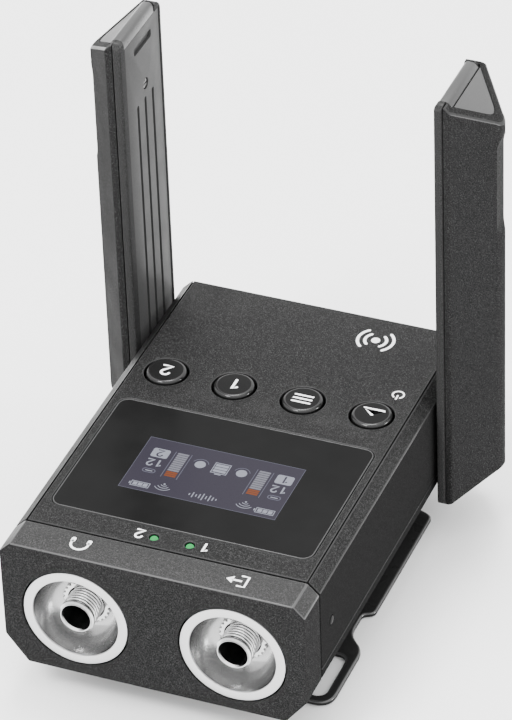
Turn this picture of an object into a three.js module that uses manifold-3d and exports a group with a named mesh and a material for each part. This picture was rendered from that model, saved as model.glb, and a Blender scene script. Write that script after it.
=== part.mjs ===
// Wireless receiver unit: body with two jack sockets, window, buttons, two folding antennas, clip.
// Millimetres. +X across the body, +Y from the jack end to the far end, +Z out of the front panel.
// The pieces are drawn with z = 0 on the body's rear face and y = 0 on the jack end, and the whole
// group is then moved so that the origin is the bottom centre of the object's box.
import * as THREE from 'three';
import { mergeVertices } from 'three/addons/utils/BufferGeometryUtils.js';
import Module from 'manifold-3d';

const wasm = await Module();
wasm.setup();

// ---- driving dimensions ----------------------------------------------------------------------
const WIDTH = 68;
const LENGTH = 100;
const THICK = 31;
const TOP_BEVEL = 2.5;
const REAR_CHAMFER_X = 4.9;
const REAR_CHAMFER_Z = 6.4;
const WALL = 2;
const GAP = 0.3;              // clearance between touching pieces
const CAP_LENGTH = 8.5;       // end cap, from the jack end
const SEAM_Z = 8.8;           // height of the side seam
const PANEL_THICK = 1.4;
const LEDGE_THICK = 1.2;      // shelf that the front panel lies on
const PAST = 1;               // how far a cutting shape runs past the surface it cuts
const FRONT_DEPTH = 6;        // depth cleared behind the front face for buttons, lamps, display

const WINDOW = { x: 29.3, y0: 15.4, y1: 54.6, r: 2.5, thick: 1.0 };
const SCREEN = { x: 19.5, y0: 22.5, y1: 46, top: 29.7, thick: 1.6, rim: 1, room: 1.5 };
const BUTTON_X = [-23.75, -7.92, 7.92, 23.75];
const BUTTON_Y = 66.2;
const BUTTON_R = 4.6;
const BUTTON_HOLE_R = 5.0;
const BUTTON_TOP = THICK + 0.5;
const BUTTON_FOOT = THICK - 4.6;
const BUTTON_TRAVEL = 0.4;
const BUTTON_EDGE = 0.9;
const SWITCH = { half: 3, height: 3.2, stemR: 1.6, slack: 0.05 };
const LAMP_X = 4.0;
const LAMP_Y = 12.0;
const LAMP_R = 0.85;
const LAMP_FOOT_R = 1.5;
const LAMP_FOOT_TOP = THICK - 2.6;

const JACK_X = 17.6;
const JACK_Z = 14.5;
const RING_R = 12;
const DISH_R = 9.6;
const DISH_FOOT_R = 5.4;
const DISH_DEPTH = 6.6;
const RING_THICK = 8;
const COLLAR_R = 3.95;
const COLLAR_BORE_R = 3.1;
const COLLAR_MOUTH = 0.4;
const RING_FACE = 0.1;        // the ring's flat front, in from the jack face
const DISH_START = 0.25;
const WASHER = { teeth: 20, rootR: 4.75, tipR: 5.25, thick: 0.6, seat: 0.9 };
const RING_SEAT = 1.6;        // wall around each ring inside the end cap
const SOCKET_HALF = 6;
const SOCKET_DROP = 5.5;      // from the bore axis down to the socket's underside
const SOCKET_Y = [9.4, 24];
const SOCKET_BORE_END = 20;

const BOARD_Z = [20.2, 21.8];
const BOARD_X = 29.5;
const BOARD_Y = [10.5, 95];
const SHIELD = { x: 11, y0: 27, y1: 41, height: 2.9 };
const CELL_R = 7.1;
const CELL_LENGTH = 50.2;
const CELL_X = 7.6;
const CELL_Z = 10.4;
const CELL_Y0 = 44.2;
const CELL_TIP = { r: 2.7, height: 1.2 };
const TRAY = { side: 1.6, wall: 1.2, front: 4.6, floor: 0.8, rise: 3 };
const SPRING = { length: 3.2, footR: 4.2, lowR: 3.4, topR: 2.2, bore: 1.6, topBore: 1.2,
  footThick: 0.5 };
const LEAD_R = 0.55;

const DOOR = { x: 24, z0: 3.2, z1: 20, thick: 2.2, hingeZ: 4.6, hingeR: 1.4, pinR: 0.7,
  pinOver: 2.2, slack: 0.05, pullR: 1.1, pullHalf: 5, pullDrop: 2.6, pullOut: 0.5 };
const CONTACT = { side: 5, thick: 0.4, half: 4 };

const PIVOT_Y = 86.7;
const PIVOT_Z = 15;
const ANT_FACE = 34.9;        // inner face of an antenna, from the centre plane
const ANT_WIDTH = 22.2;
const ANT_OUT = 12.6;         // sharp apex, from the inner face
const ANT_APEX_R = 3;
const ANT_EDGE = 3.5;         // height of the straight sides
const ANT_Z = [2.6, 106.3];
const ANT_TOP_DROP = 9.5;     // the apex ends lower than the inner face at the top
const ANT_FOOT_RISE = 6.8;    // and higher at the bottom
const ANT_COVER = 1.9;        // thickness of the inner cover
const ANT_WALL = 1.5;
const HUB_R = 4;
const HUB_COLLAR_R = 6;
const HUB_BORE_R = 1.6;
const HUB_DEPTH = 2.4;        // how far the hub reaches in past the housing wall
const HUB_FLANGE_END = 3.4;   // from the antenna's inner face
const HUB_GROOVE = { from: 0.7, to: 1.5, deep: 0.6 };
const HUB_RING = { over: 1.4, thick: 0.6, lift: 0.1, gapHalf: 2.2 };
const HUB_WASHER = { over: 2.2, thick: 0.6, off: 0.2 };
const ELEMENT = { from: 2.6, to: 3.4, half: 8, z0: 24, z1: 98 };
const GRIP = { z0: 70, z1: 94.5, depth: 0.9, ridge: 0.7 };
const POCKET = { base: 3.6, tip: 9.2, half: 7.6, depth: 0.7 };
const GROOVE = { pitch: 4, half: 0.5, depth: 0.6, z0: 22, z1: 86.5 };
const SLOT = { half: 4.5, depth: 1, z0: 98.6, z1: 100.6 };
const COVER_MID_Y = PIVOT_Y + 0.9;
const COVER_SCREW = { y: COVER_MID_Y + 0.6, z: 89.5, r: 1.3, top: 0.15, foot: 0.95, hole: 1.2,
  slotHalf: 0.2, slotDepth: 0.45, slotReach: 0.9 };

const PLATE_Z = [-7.5, -6.3];  // belt clip plate
const CLIP_PIN = { y: 72, z: -4.1, r: 1.0 };
const EAR_IN = 12.6;
const EAR_OUT = 14.1;
const EAR_THICK = 1.2;
const EAR_R = 2.1;
const EAR_FOOT = { bracket: 5, arm: 4.5 };
const BRACKET = { y0: 57, y1: 81, z: -1.5, r: 2 };
const BRACKET_SCREWS = [[-8, 62], [8, 62], [0, 76]];
const CLIP_SPRING = { half: 10.5, r: 1.9 };
const CLIP = { loopX: 33.1, loopY0: 14.8, loopY1: 34, loopR: 4, neckX: 28.9, neckY0: 38,
  wingX: 31.3, wingY0: 45.4, wingY1: 84, bar: 2.3, openY1: 31.2, openR: 2 };

const SCREW_SPOTS = [[-27, 14], [27, 14], [-27, 72], [27, 72]];
const SCREW_R = 1.2;
const SCREW_HEAD = { r: 2.3, deep: 1.5 };
const SCREW_DEPTH = 12.2;     // housing screw holes, above the seam
const BOSS_R = 2.6;
const BOSS_SPLIT = 12.5;      // height at which front and rear bosses meet
const BOSS_TOP = THICK - 2.4;
const SIDE_PIN = { y: 14.4, z: 17.4, r: 1.0, from: 30.5, to: 34.25 };

// ---- colours ---------------------------------------------------------------------------------
const finish = (color, roughness, metalness) => new THREE.MeshStandardMaterial(
  { color, roughness, metalness });
const COAT = () => finish(0x44464a, 0.6, 0.2);
const SATIN = () => finish(0x6c6c6e, 0.5, 0.1);
const BLACK = () => finish(0x141416, 0.6, 0);
const GLOSS = () => finish(0x17181a, 0.15, 0);
const STEEL = () => finish(0xb8babd, 0.35, 1);
const SILVER = () => finish(0xd9dadb, 0.4, 1);
const CLIP_BLACK = () => finish(0x1b1b1d, 0.35, 0.6);
const GOLD = () => finish(0xc9a44c, 0.35, 1);
const GREEN = () => finish(0x3fd070, 0.3, 0);
const BOARD = () => finish(0x14402a, 0.6, 0);
const CELL = () => finish(0x3c5a86, 0.4, 0.2);

// ---- geometry helpers ------------------------------------------------------------------------
const solid = (geometry) => {
  geometry.deleteAttribute('normal');
  geometry.deleteAttribute('uv');
  const merged = mergeVertices(geometry, 1e-4);
  return new wasm.Manifold(new wasm.Mesh({
    numProp: 3,
    vertProperties: new Float32Array(merged.attributes.position.array),
    triVerts: new Uint32Array(merged.index.array),
  }));
};

const toGeometry = (body) => {
  const mesh = body.getMesh();
  const geometry = new THREE.BufferGeometry();
  geometry.setAttribute('position', new THREE.BufferAttribute(mesh.vertProperties, 3));
  geometry.setIndex(new THREE.BufferAttribute(mesh.triVerts, 1));
  return geometry;
};

const cut = (body, ...tools) => tools.reduce((left, tool) => left.subtract(tool), body);
const join = (body, ...others) => others.reduce((sum, other) => sum.add(other), body);

const polygon = (points) => new THREE.Shape(points.map(([x, y]) => new THREE.Vector2(x, y)));

const extrude = (shape, depth, curveSegments) => new THREE.ExtrudeGeometry(
  shape, { depth, bevelEnabled: false, curveSegments });

// Shape drawn in x, y and pushed up from z0 to z1.
const alongZ = (shape, z0, z1, segments = 6) => solid(
  extrude(shape, z1 - z0, segments).translate(0, 0, z0));

// Shape drawn in x, z and pushed from y0 to y1.
const alongY = (shape, y0, y1, segments = 6) => solid(
  extrude(shape, y1 - y0, segments).rotateX(Math.PI / 2).translate(0, y1, 0));

// Shape drawn in y, z and pushed from x0 to x1.
const alongX = (shape, x0, x1, segments = 6) => solid(
  extrude(shape, x1 - x0, segments).rotateX(Math.PI / 2).rotateZ(Math.PI / 2).translate(x0, 0, 0));

const box = (x0, x1, y0, y1, z0, z1) => solid(
  new THREE.BoxGeometry(x1 - x0, y1 - y0, z1 - z0)
    .translate((x0 + x1) / 2, (y0 + y1) / 2, (z0 + z1) / 2));

const rod = (axis, radius, from, to, [a, b], facets = 16) => {
  const geometry = new THREE.CylinderGeometry(radius, radius, to - from, facets);
  const middle = (from + to) / 2;
  if (axis === 'x') return solid(geometry.rotateZ(Math.PI / 2).translate(middle, a, b));
  if (axis === 'y') return solid(geometry.translate(a, middle, b));
  return solid(geometry.rotateX(Math.PI / 2).translate(a, b, middle));
};

const roundedRect = (x0, x1, y0, y1, r) => {
  const shape = new THREE.Shape();
  shape.moveTo(x0 + r, y0);
  shape.lineTo(x1 - r, y0);
  shape.absarc(x1 - r, y0 + r, r, -Math.PI / 2, 0);
  shape.lineTo(x1, y1 - r);
  shape.absarc(x1 - r, y1 - r, r, 0, Math.PI / 2);
  shape.lineTo(x0 + r, y1);
  shape.absarc(x0 + r, y1 - r, r, Math.PI / 2, Math.PI);
  shape.lineTo(x0, y0 + r);
  shape.absarc(x0 + r, y0 + r, r, Math.PI, 1.5 * Math.PI);
  return shape;
};

// Closed profile of [radius, y] points, anticlockwise, turned about an axis along Y.
const turnedAboutY = (profile, x, z, sides) => {
  const closed = [...profile, profile[0]].map(([r, y]) => new THREE.Vector2(r, y));
  return solid(new THREE.LatheGeometry(closed, sides).translate(x, 0, z));
};

// ---- body outlines ---------------------------------------------------------------------------
const bodyOutline = (inset) => {
  const x = WIDTH / 2 - inset;
  const top = THICK - inset;
  return polygon([
    [-x + REAR_CHAMFER_X, inset], [x - REAR_CHAMFER_X, inset], [x, inset + REAR_CHAMFER_Z],
    [x, top - TOP_BEVEL], [x - TOP_BEVEL, top], [-x + TOP_BEVEL, top], [-x, top - TOP_BEVEL],
    [-x, inset + REAR_CHAMFER_Z],
  ]);
};
const bodySlab = (inset, y0, y1) => alongY(bodyOutline(inset), y0, y1);
const HOUSING_Y0 = CAP_LENGTH + GAP;
const PANEL_X = WIDTH / 2 - TOP_BEVEL;
const PANEL_Z0 = THICK - PANEL_THICK;
const windowOutline = (grow) => roundedRect(
  -WINDOW.x - grow, WINDOW.x + grow, WINDOW.y0 - grow, WINDOW.y1 + grow, WINDOW.r + grow);
const doorHole = () => box(-DOOR.x - GAP, DOOR.x + GAP, LENGTH - 5, LENGTH + 1,
  DOOR.z0 - GAP, DOOR.z1 + GAP);
const sides = [['left', -1], ['right', 1]];
// Round hole along x through one side wall; sign picks the side.
const sideHole = (sign, radius, spot, facets = 16) => {
  const inner = WIDTH / 2 - WALL * 2;
  const outer = WIDTH / 2 + PAST;
  return rod('x', radius, sign > 0 ? inner : -outer, sign > 0 ? outer : -inner, spot, facets);
};

// ---- shells ----------------------------------------------------------------------------------
const frontHousing = () => {
  const upper = box(-WIDTH, WIDTH, HOUSING_Y0, LENGTH, SEAM_Z, THICK + PAST);
  let shell = cut(bodySlab(0, HOUSING_Y0, LENGTH),
    bodySlab(WALL, HOUSING_Y0 - PAST, LENGTH - WALL)).intersect(upper);
  const ledgeTop = PANEL_Z0 - GAP;
  const ledge = box(-PANEL_X + 1, PANEL_X - 1, HOUSING_Y0, LENGTH - WALL, ledgeTop - LEDGE_THICK,
    ledgeTop);
  shell = join(shell, ledge);
  const bosses = SCREW_SPOTS.map((spot) => rod('z', BOSS_R, BOSS_SPLIT + GAP, BOSS_TOP, spot));
  shell = join(shell, ...bosses);
  const recess = box(-PANEL_X, PANEL_X, HOUSING_Y0 - PAST, LENGTH + PAST, ledgeTop, THICK + PAST);
  const view = box(-SCREEN.x - SCREEN.room, SCREEN.x + SCREEN.room, SCREEN.y0 - SCREEN.room,
    SCREEN.y1 + SCREEN.room, THICK - FRONT_DEPTH, THICK);
  const holes = BUTTON_X.map((x) => rod('z', BUTTON_HOLE_R + 2 * GAP, THICK - FRONT_DEPTH,
    THICK + PAST, [x, BUTTON_Y], 20));
  const lamps = sides.map(([, s]) => rod('z', LAMP_FOOT_R + 0.5, THICK - FRONT_DEPTH, THICK,
    [s * LAMP_X, LAMP_Y]));
  const pivots = sides.map(([, s]) => sideHole(s, HUB_R + GAP, [PIVOT_Y, PIVOT_Z]));
  const pins = sides.map(([, s]) => sideHole(s, SIDE_PIN.r + GAP, [SIDE_PIN.y, SIDE_PIN.z]));
  const screwHoles = SCREW_SPOTS.map((spot) => rod('z', SCREW_R + GAP, SEAM_Z,
    SEAM_Z + SCREW_DEPTH, spot, 12));
  return cut(shell, recess, view, ...holes, ...lamps, ...pivots, ...pins, ...screwHoles,
    doorHole());
};

const frontPanel = () => {
  const x = PANEL_X - GAP;
  const z0 = PANEL_Z0 - PAST;
  const plate = box(-x, x, HOUSING_Y0, LENGTH, PANEL_Z0, THICK);
  const window = alongZ(windowOutline(GAP), z0, THICK + PAST);
  const holes = BUTTON_X.map((bx) => rod('z', BUTTON_HOLE_R, z0, THICK + PAST,
    [bx, BUTTON_Y], 28));
  const lamps = sides.map(([, s]) => rod('z', LAMP_R + GAP, z0, THICK + PAST,
    [s * LAMP_X, LAMP_Y]));
  return cut(plate, window, ...holes, ...lamps);
};

const rearHousing = () => {
  const lower = box(-WIDTH, WIDTH, HOUSING_Y0, LENGTH, -PAST, SEAM_Z - GAP);
  const shell = cut(bodySlab(0, HOUSING_Y0, LENGTH),
    bodySlab(WALL, HOUSING_Y0 - PAST, LENGTH - WALL)).intersect(lower);
  const bosses = SCREW_SPOTS.map((spot) => rod('z', BOSS_R, WALL / 2, BOSS_SPLIT, spot));
  const screwHoles = SCREW_SPOTS.map((spot) => rod('z', SCREW_R + GAP, -PAST,
    BOSS_SPLIT + PAST, spot, 12));
  const headHoles = SCREW_SPOTS.map((spot) => rod('z', SCREW_HEAD.r, -PAST, SCREW_HEAD.deep,
    spot));
  const bracketHoles = BRACKET_SCREWS.map((spot) => rod('z', SCREW_R + GAP, -PAST,
    WALL + PAST, spot, 12));
  const hinge = rod('x', DOOR.pinR + DOOR.slack, -DOOR.x - 3, DOOR.x + 3,
    [LENGTH - DOOR.hingeR, DOOR.hingeZ], 12);
  return cut(join(shell, ...bosses), ...screwHoles, ...headHoles, ...bracketHoles, doorHole(),
    hinge);
};

const endCap = () => {
  const end = CAP_LENGTH + PAST;
  const block = cut(bodySlab(0, 0, CAP_LENGTH), bodySlab(WALL, WALL, end));
  const seats = sides.map(([, s]) => rod('y', RING_R + RING_SEAT, WALL / 2, CAP_LENGTH,
    [s * JACK_X, JACK_Z], 32).intersect(bodySlab(0.5, 0, CAP_LENGTH)));
  const holes = sides.map(([, s]) => rod('y', RING_R + GAP, -PAST, end,
    [s * JACK_X, JACK_Z], 32));
  return cut(join(block, ...seats), ...holes);
};

// ---- window, screen, buttons, lamps ----------------------------------------------------------
const windowGlass = () => alongZ(windowOutline(0), THICK - WINDOW.thick, THICK);

const screenBox = (grow, z0, z1) => box(-SCREEN.x - grow, SCREEN.x + grow, SCREEN.y0 - grow,
  SCREEN.y1 + grow, z0, z1);

const windowGasket = () => cut(
  alongZ(windowOutline(-0.1), PANEL_Z0 - 0.1, THICK - WINDOW.thick - 0.1, 3),
  screenBox(SCREEN.rim, PANEL_Z0 - PAST, THICK),
);

const screenModule = () => screenBox(0, SCREEN.top - SCREEN.thick, SCREEN.top);

const screenFrame = () => cut(
  screenBox(SCREEN.rim, BOARD_Z[1] + GAP, SCREEN.top - SCREEN.thick - GAP),
  screenBox(-SCREEN.rim, BOARD_Z[1], THICK),
);

const buttonProfile = () => {
  const arc = [0, 1, 2, 3].map((i) => {
    const a = (i / 3) * Math.PI / 2;
    return [BUTTON_R - BUTTON_EDGE * (1 - Math.cos(a)), BUTTON_TOP - BUTTON_EDGE * (1 - Math.sin(a))];
  });
  return [[0, BUTTON_FOOT], [BUTTON_R, BUTTON_FOOT], ...arc, [0, BUTTON_TOP]];
};

const button = (x) => {
  const points = buttonProfile().map(([r, z]) => new THREE.Vector2(r, z));
  return solid(new THREE.LatheGeometry(points, 28).rotateX(Math.PI / 2)
    .translate(x, BUTTON_Y, 0));
};

const tactSwitch = (x) => {
  const top = BUTTON_FOOT - BUTTON_TRAVEL - SWITCH.slack;
  const stem = rod('z', SWITCH.stemR, BOARD_Z[1] + PAST, top, [x, BUTTON_Y], 12);
  return join(box(x - SWITCH.half, x + SWITCH.half, BUTTON_Y - SWITCH.half,
    BUTTON_Y + SWITCH.half, BOARD_Z[1] + 0.1, BOARD_Z[1] + SWITCH.height), stem);
};

const lamp = (x) => join(
  rod('z', LAMP_R, LAMP_FOOT_TOP - PAST, THICK + 0.05, [x, LAMP_Y]),
  rod('z', LAMP_FOOT_R, BOARD_Z[1] + 4 * GAP, LAMP_FOOT_TOP, [x, LAMP_Y]),
);

// ---- sockets ---------------------------------------------------------------------------------
const ringProfile = () => {
  const steps = 7;
  const bowl = Array.from({ length: steps + 1 }, (_, i) => {
    const a = (i / steps) * Math.PI / 2;
    return [DISH_FOOT_R + (DISH_R - DISH_FOOT_R) * Math.cos(a),
      DISH_START + DISH_DEPTH * Math.sin(a)];
  });
  const front = [[RING_R, RING_FACE], [DISH_R + GAP, RING_FACE], ...bowl];
  const back = [[COLLAR_R + GAP, DISH_START + DISH_DEPTH], [COLLAR_R + GAP, RING_THICK],
    [RING_R, RING_THICK]];
  return [...front, ...back].reverse();
};
const jackRing = (x) => turnedAboutY(ringProfile(), x, JACK_Z, 40);

const jackCollar = (x) => cut(
  rod('y', COLLAR_R, COLLAR_MOUTH, SOCKET_Y[0] - 0.1, [x, JACK_Z], 24),
  rod('y', COLLAR_BORE_R, -PAST, SOCKET_Y[0] + PAST, [x, JACK_Z], 24),
);

const jackWasher = (x) => {
  const y0 = DISH_START + DISH_DEPTH - WASHER.seat;
  const teeth = new THREE.Shape();
  for (let i = 0; i < WASHER.teeth * 2; i += 1) {
    const a = (i / WASHER.teeth) * Math.PI;
    const r = i % 2 ? WASHER.rootR : WASHER.tipR;
    if (i === 0) teeth.moveTo(r * Math.cos(a), r * Math.sin(a));
    else teeth.lineTo(r * Math.cos(a), r * Math.sin(a));
  }
  return cut(alongY(teeth, y0, y0 + WASHER.thick),
    rod('y', COLLAR_R + GAP, 0, CAP_LENGTH, [0, 0], 24)).translate([x, 0, JACK_Z]);
};

const jackSocket = (x) => {
  const block = box(x - SOCKET_HALF, x + SOCKET_HALF, SOCKET_Y[0] + 0.2, SOCKET_Y[1],
    JACK_Z - SOCKET_DROP, BOARD_Z[0] - GAP);
  return cut(block, rod('y', COLLAR_BORE_R, 0, SOCKET_BORE_END, [x, JACK_Z], 24));
};

// ---- inside ----------------------------------------------------------------------------------
const mainBoard = () => {
  const board = box(-BOARD_X, BOARD_X, BOARD_Y[0], BOARD_Y[1], BOARD_Z[0], BOARD_Z[1]);
  const [z0, z1] = [BOARD_Z[0] - PAST, BOARD_Z[1] + PAST];
  const bosses = SCREW_SPOTS.map((spot) => rod('z', BOSS_R + GAP, z0, z1, spot));
  const inner = BOARD_X - 2.5;
  const hubs = sides.map(([, s]) => box(s > 0 ? inner : -BOARD_X - PAST,
    s > 0 ? BOARD_X + PAST : -inner, PIVOT_Y - 7, PIVOT_Y + 7, z0, z1));
  return cut(board, ...bosses, ...hubs);
};

const radioShield = () => box(-SHIELD.x, SHIELD.x, SHIELD.y0, SHIELD.y1,
  BOARD_Z[0] - 0.1 - SHIELD.height, BOARD_Z[0] - 0.1);

const cell = (x) => join(
  rod('y', CELL_R, CELL_Y0, CELL_Y0 + CELL_LENGTH - CELL_TIP.height, [x, CELL_Z], 28),
  rod('y', CELL_TIP.r, CELL_Y0 + CELL_LENGTH - 2 * CELL_TIP.height, CELL_Y0 + CELL_LENGTH,
    [x, CELL_Z]),
);

const cellTray = () => {
  const x = CELL_X + CELL_R + TRAY.side;
  const y0 = CELL_Y0 - TRAY.front;
  const z0 = WALL + GAP;
  const tray = box(-x, x, y0, LENGTH - WALL - 0.8, z0, CELL_Z + TRAY.rise);
  const room = box(-x + TRAY.wall, x - TRAY.wall, y0 + TRAY.wall, LENGTH, z0 + TRAY.floor,
    CELL_Z + CELL_R);
  return cut(tray, room);
};

const contactSpring = (x) => {
  const [y0, y1] = [CELL_Y0 - SPRING.length, CELL_Y0 - GAP];
  const cone = [[SPRING.bore, y0], [SPRING.lowR, y0], [SPRING.topR, y1], [SPRING.topBore, y1]];
  return join(
    turnedAboutY(cone, x, CELL_Z, 16),
    cut(rod('y', SPRING.footR, y0, y0 + SPRING.footThick, [x, CELL_Z]),
      rod('y', SPRING.bore, y0 - PAST, y0 + PAST, [x, CELL_Z])),
  );
};

const coaxLead = (sign) => {
  const start = new THREE.Vector3(sign * 27.6, PIVOT_Y - 5.5, PIVOT_Z + 1.5);
  const bend = new THREE.Vector3(sign * 22.8, PIVOT_Y - 13, 17.8);
  const run = new THREE.Vector3(sign * 20, 58, 18.6);
  const end = new THREE.Vector3(sign * 12.5, 38, 18.6);
  const route = new THREE.CatmullRomCurve3([start, bend, run, end]);
  const section = new THREE.Shape();
  section.absarc(0, 0, LEAD_R, 0, 2 * Math.PI);
  return solid(new THREE.ExtrudeGeometry(section,
    { steps: 14, extrudePath: route, curveSegments: 3, bevelEnabled: false }));
};

// ---- battery door ----------------------------------------------------------------------------
const batteryDoor = () => {
  const hinge = [LENGTH - DOOR.hingeR, DOOR.hingeZ];
  const leaf = box(-DOOR.x, DOOR.x, LENGTH - DOOR.thick, LENGTH, DOOR.hingeZ, DOOR.z1);
  const barrel = rod('x', DOOR.hingeR, -DOOR.x, DOOR.x, hinge, 20);
  const pull = rod('x', DOOR.pullR, -DOOR.pullHalf, DOOR.pullHalf,
    [LENGTH + DOOR.pullOut, DOOR.z1 - DOOR.pullDrop]);
  const bore = rod('x', DOOR.pinR + DOOR.slack, -DOOR.x - PAST, DOOR.x + PAST, hinge, 12);
  return cut(join(leaf, barrel), pull, bore);
};

const doorPin = () => rod('x', DOOR.pinR, -DOOR.x - DOOR.pinOver, DOOR.x + DOOR.pinOver,
  [LENGTH - DOOR.hingeR, DOOR.hingeZ], 12);

const doorContact = () => box(-CELL_X - CONTACT.side, CELL_X + CONTACT.side,
  LENGTH - DOOR.thick - GAP - CONTACT.thick, LENGTH - DOOR.thick - GAP, CELL_Z - CONTACT.half,
  CELL_Z + CONTACT.half);

// ---- antennas, drawn for the +X side ---------------------------------------------------------
const antennaSection = (u0, inset) => {
  const half = ANT_WIDTH / 2 - inset;
  const apex = ANT_FACE + ANT_OUT - inset * 1.25;
  const edge = ANT_FACE + ANT_EDGE - inset * 0.5;
  const slope = Math.atan2(apex - edge, half);
  const r = Math.max(ANT_APEX_R - inset, 0.8);
  const centre = apex - r / Math.cos(slope);
  const x0 = ANT_FACE + u0;
  const shape = new THREE.Shape();
  shape.moveTo(x0, PIVOT_Y - half);
  shape.lineTo(edge, PIVOT_Y - half);
  shape.absarc(centre, PIVOT_Y, r, slope - Math.PI / 2, Math.PI / 2 - slope);
  shape.lineTo(edge, PIVOT_Y + half);
  shape.lineTo(x0, PIVOT_Y + half);
  return shape;
};

// Side view of an antenna in x, z, with both ends slanted.
const antennaSide = (inset) => polygon([
  [ANT_FACE - 1, ANT_Z[0] + inset],
  [ANT_FACE + ANT_COVER, ANT_Z[0] + inset],
  [ANT_FACE + ANT_OUT + 1, ANT_Z[0] + inset + ANT_FOOT_RISE * 1.08],
  [ANT_FACE + ANT_OUT + 1, ANT_Z[1] - inset - ANT_TOP_DROP * 1.08],
  [ANT_FACE + ANT_COVER, ANT_Z[1] - inset],
  [ANT_FACE - 1, ANT_Z[1] - inset],
]);

const antennaBody = (u0, inset) => alongZ(antennaSection(u0, inset), ANT_Z[0], ANT_Z[1], 8)
  .intersect(alongY(antennaSide(inset), PIVOT_Y - 20, PIVOT_Y + 20));

// Triangular pocket in the slanted top end of an antenna.
const topPocket = (shrink, depth) => {
  const slope = Math.atan2(ANT_TOP_DROP, ANT_OUT - ANT_COVER);
  const tri = polygon([
    [ANT_FACE + POCKET.base + shrink, PIVOT_Y - POCKET.half + 1.6 * shrink],
    [ANT_FACE + POCKET.tip - 1.4 * shrink, PIVOT_Y],
    [ANT_FACE + POCKET.base + shrink, PIVOT_Y + POCKET.half - 1.6 * shrink],
  ]);
  const reach = depth / Math.cos(slope);
  const column = alongZ(tri, 80, 120);
  const drop = (x) => ANT_Z[1] - ANT_TOP_DROP * 1.08 * (x - ANT_FACE - ANT_COVER)
    / (ANT_OUT + 1 - ANT_COVER);
  const x0 = ANT_FACE + ANT_COVER;
  const x1 = ANT_FACE + ANT_OUT + 1;
  const band = alongY(polygon([[x0, drop(x0) - reach], [x1, drop(x1) - reach],
    [x1, drop(x1) + 5], [x0, drop(x0) + 5]]), PIVOT_Y - 20, PIVOT_Y + 20);
  return column.intersect(band);
};

const antennaShell = () => {
  const outer = antennaBody(ANT_COVER + GAP, 0);
  const cavity = antennaBody(0, ANT_WALL);
  const grip = box(ANT_FACE + ANT_OUT - GRIP.ridge - GRIP.depth, WIDTH, PIVOT_Y - ANT_WIDTH / 2,
    PIVOT_Y + ANT_WIDTH / 2, GRIP.z0, GRIP.z1);
  return cut(outer, cavity, grip, topPocket(0, POCKET.depth));
};

const antennaInset = () => {
  const slope = Math.atan2(ANT_TOP_DROP, ANT_OUT - ANT_COVER);
  const lift = (GAP * 0.5) / Math.cos(slope);
  return topPocket(GAP * 0.7, POCKET.depth).translate([0, 0, lift])
    .intersect(antennaBody(ANT_COVER + GAP, 0.05));
};

const antennaCover = () => {
  const inner = ANT_FACE - PAST;
  const plate = alongZ(roundedRect(ANT_FACE, ANT_FACE + ANT_COVER, PIVOT_Y - ANT_WIDTH / 2,
    PIVOT_Y + ANT_WIDTH / 2, 0.6), ANT_Z[0], ANT_Z[1], 2);
  const grooves = [-GROOVE.pitch, 0, GROOVE.pitch].map((dy) => box(inner,
    ANT_FACE + GROOVE.depth, COVER_MID_Y + dy - GROOVE.half, COVER_MID_Y + dy + GROOVE.half,
    GROOVE.z0, GROOVE.z1));
  const slot = box(inner, ANT_FACE + SLOT.depth, COVER_MID_Y - SLOT.half, COVER_MID_Y + SLOT.half,
    SLOT.z0, SLOT.z1);
  const screwHole = rod('x', COVER_SCREW.r + GAP, inner, ANT_FACE + COVER_SCREW.hole,
    [COVER_SCREW.y, COVER_SCREW.z]);
  const hubHole = rod('x', HUB_R + GAP, inner, ANT_FACE + ANT_COVER + PAST, [PIVOT_Y, PIVOT_Z]);
  return cut(plate, ...grooves, slot, screwHole, hubHole);
};

const coverScrew = () => cut(
  rod('x', COVER_SCREW.r, ANT_FACE + COVER_SCREW.top, ANT_FACE + COVER_SCREW.foot,
    [COVER_SCREW.y, COVER_SCREW.z]),
  box(ANT_FACE, ANT_FACE + COVER_SCREW.slotDepth, COVER_SCREW.y - COVER_SCREW.slotReach,
    COVER_SCREW.y + COVER_SCREW.slotReach, COVER_SCREW.z - COVER_SCREW.slotHalf,
    COVER_SCREW.z + COVER_SCREW.slotHalf),
);

const antennaElement = () => box(ANT_FACE + ELEMENT.from, ANT_FACE + ELEMENT.to,
  PIVOT_Y - ELEMENT.half, PIVOT_Y + ELEMENT.half, ELEMENT.z0, ELEMENT.z1);

// Hollow pivot: a flange inside the antenna, a shaft through both walls, a groove for the ring.
const HUB_INNER = WIDTH / 2 - WALL - HUB_DEPTH;
const hubRod = (radius, from, to, facets = 16) => rod('x', radius, from, to,
  [PIVOT_Y, PIVOT_Z], facets);
const antennaHub = () => {
  const shaft = hubRod(HUB_R, HUB_INNER, ANT_FACE + ELEMENT.from);
  const flange = hubRod(HUB_COLLAR_R, ANT_FACE + ANT_COVER + GAP, ANT_FACE + HUB_FLANGE_END);
  const bore = hubRod(HUB_BORE_R, HUB_INNER - PAST, ANT_FACE + ANT_EDGE + PAST);
  const groove = cut(hubRod(HUB_R + 1, HUB_INNER + HUB_GROOVE.from, HUB_INNER + HUB_GROOVE.to),
    hubRod(HUB_R - HUB_GROOVE.deep, HUB_INNER, HUB_INNER + HUB_DEPTH));
  return cut(join(shaft, flange), bore, groove);
};

const hubRing = () => {
  const x0 = HUB_INNER + HUB_GROOVE.from + HUB_RING.lift;
  const ring = cut(hubRod(HUB_R + HUB_RING.over, x0, x0 + HUB_RING.thick),
    hubRod(HUB_R - HUB_GROOVE.deep + 0.1, HUB_INNER, HUB_INNER + HUB_DEPTH));
  return cut(ring, box(HUB_INNER, HUB_INNER + HUB_DEPTH, PIVOT_Y - HUB_RING.gapHalf,
    PIVOT_Y + HUB_RING.gapHalf, PIVOT_Z, PIVOT_Z + 2 * HUB_R));
};

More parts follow.
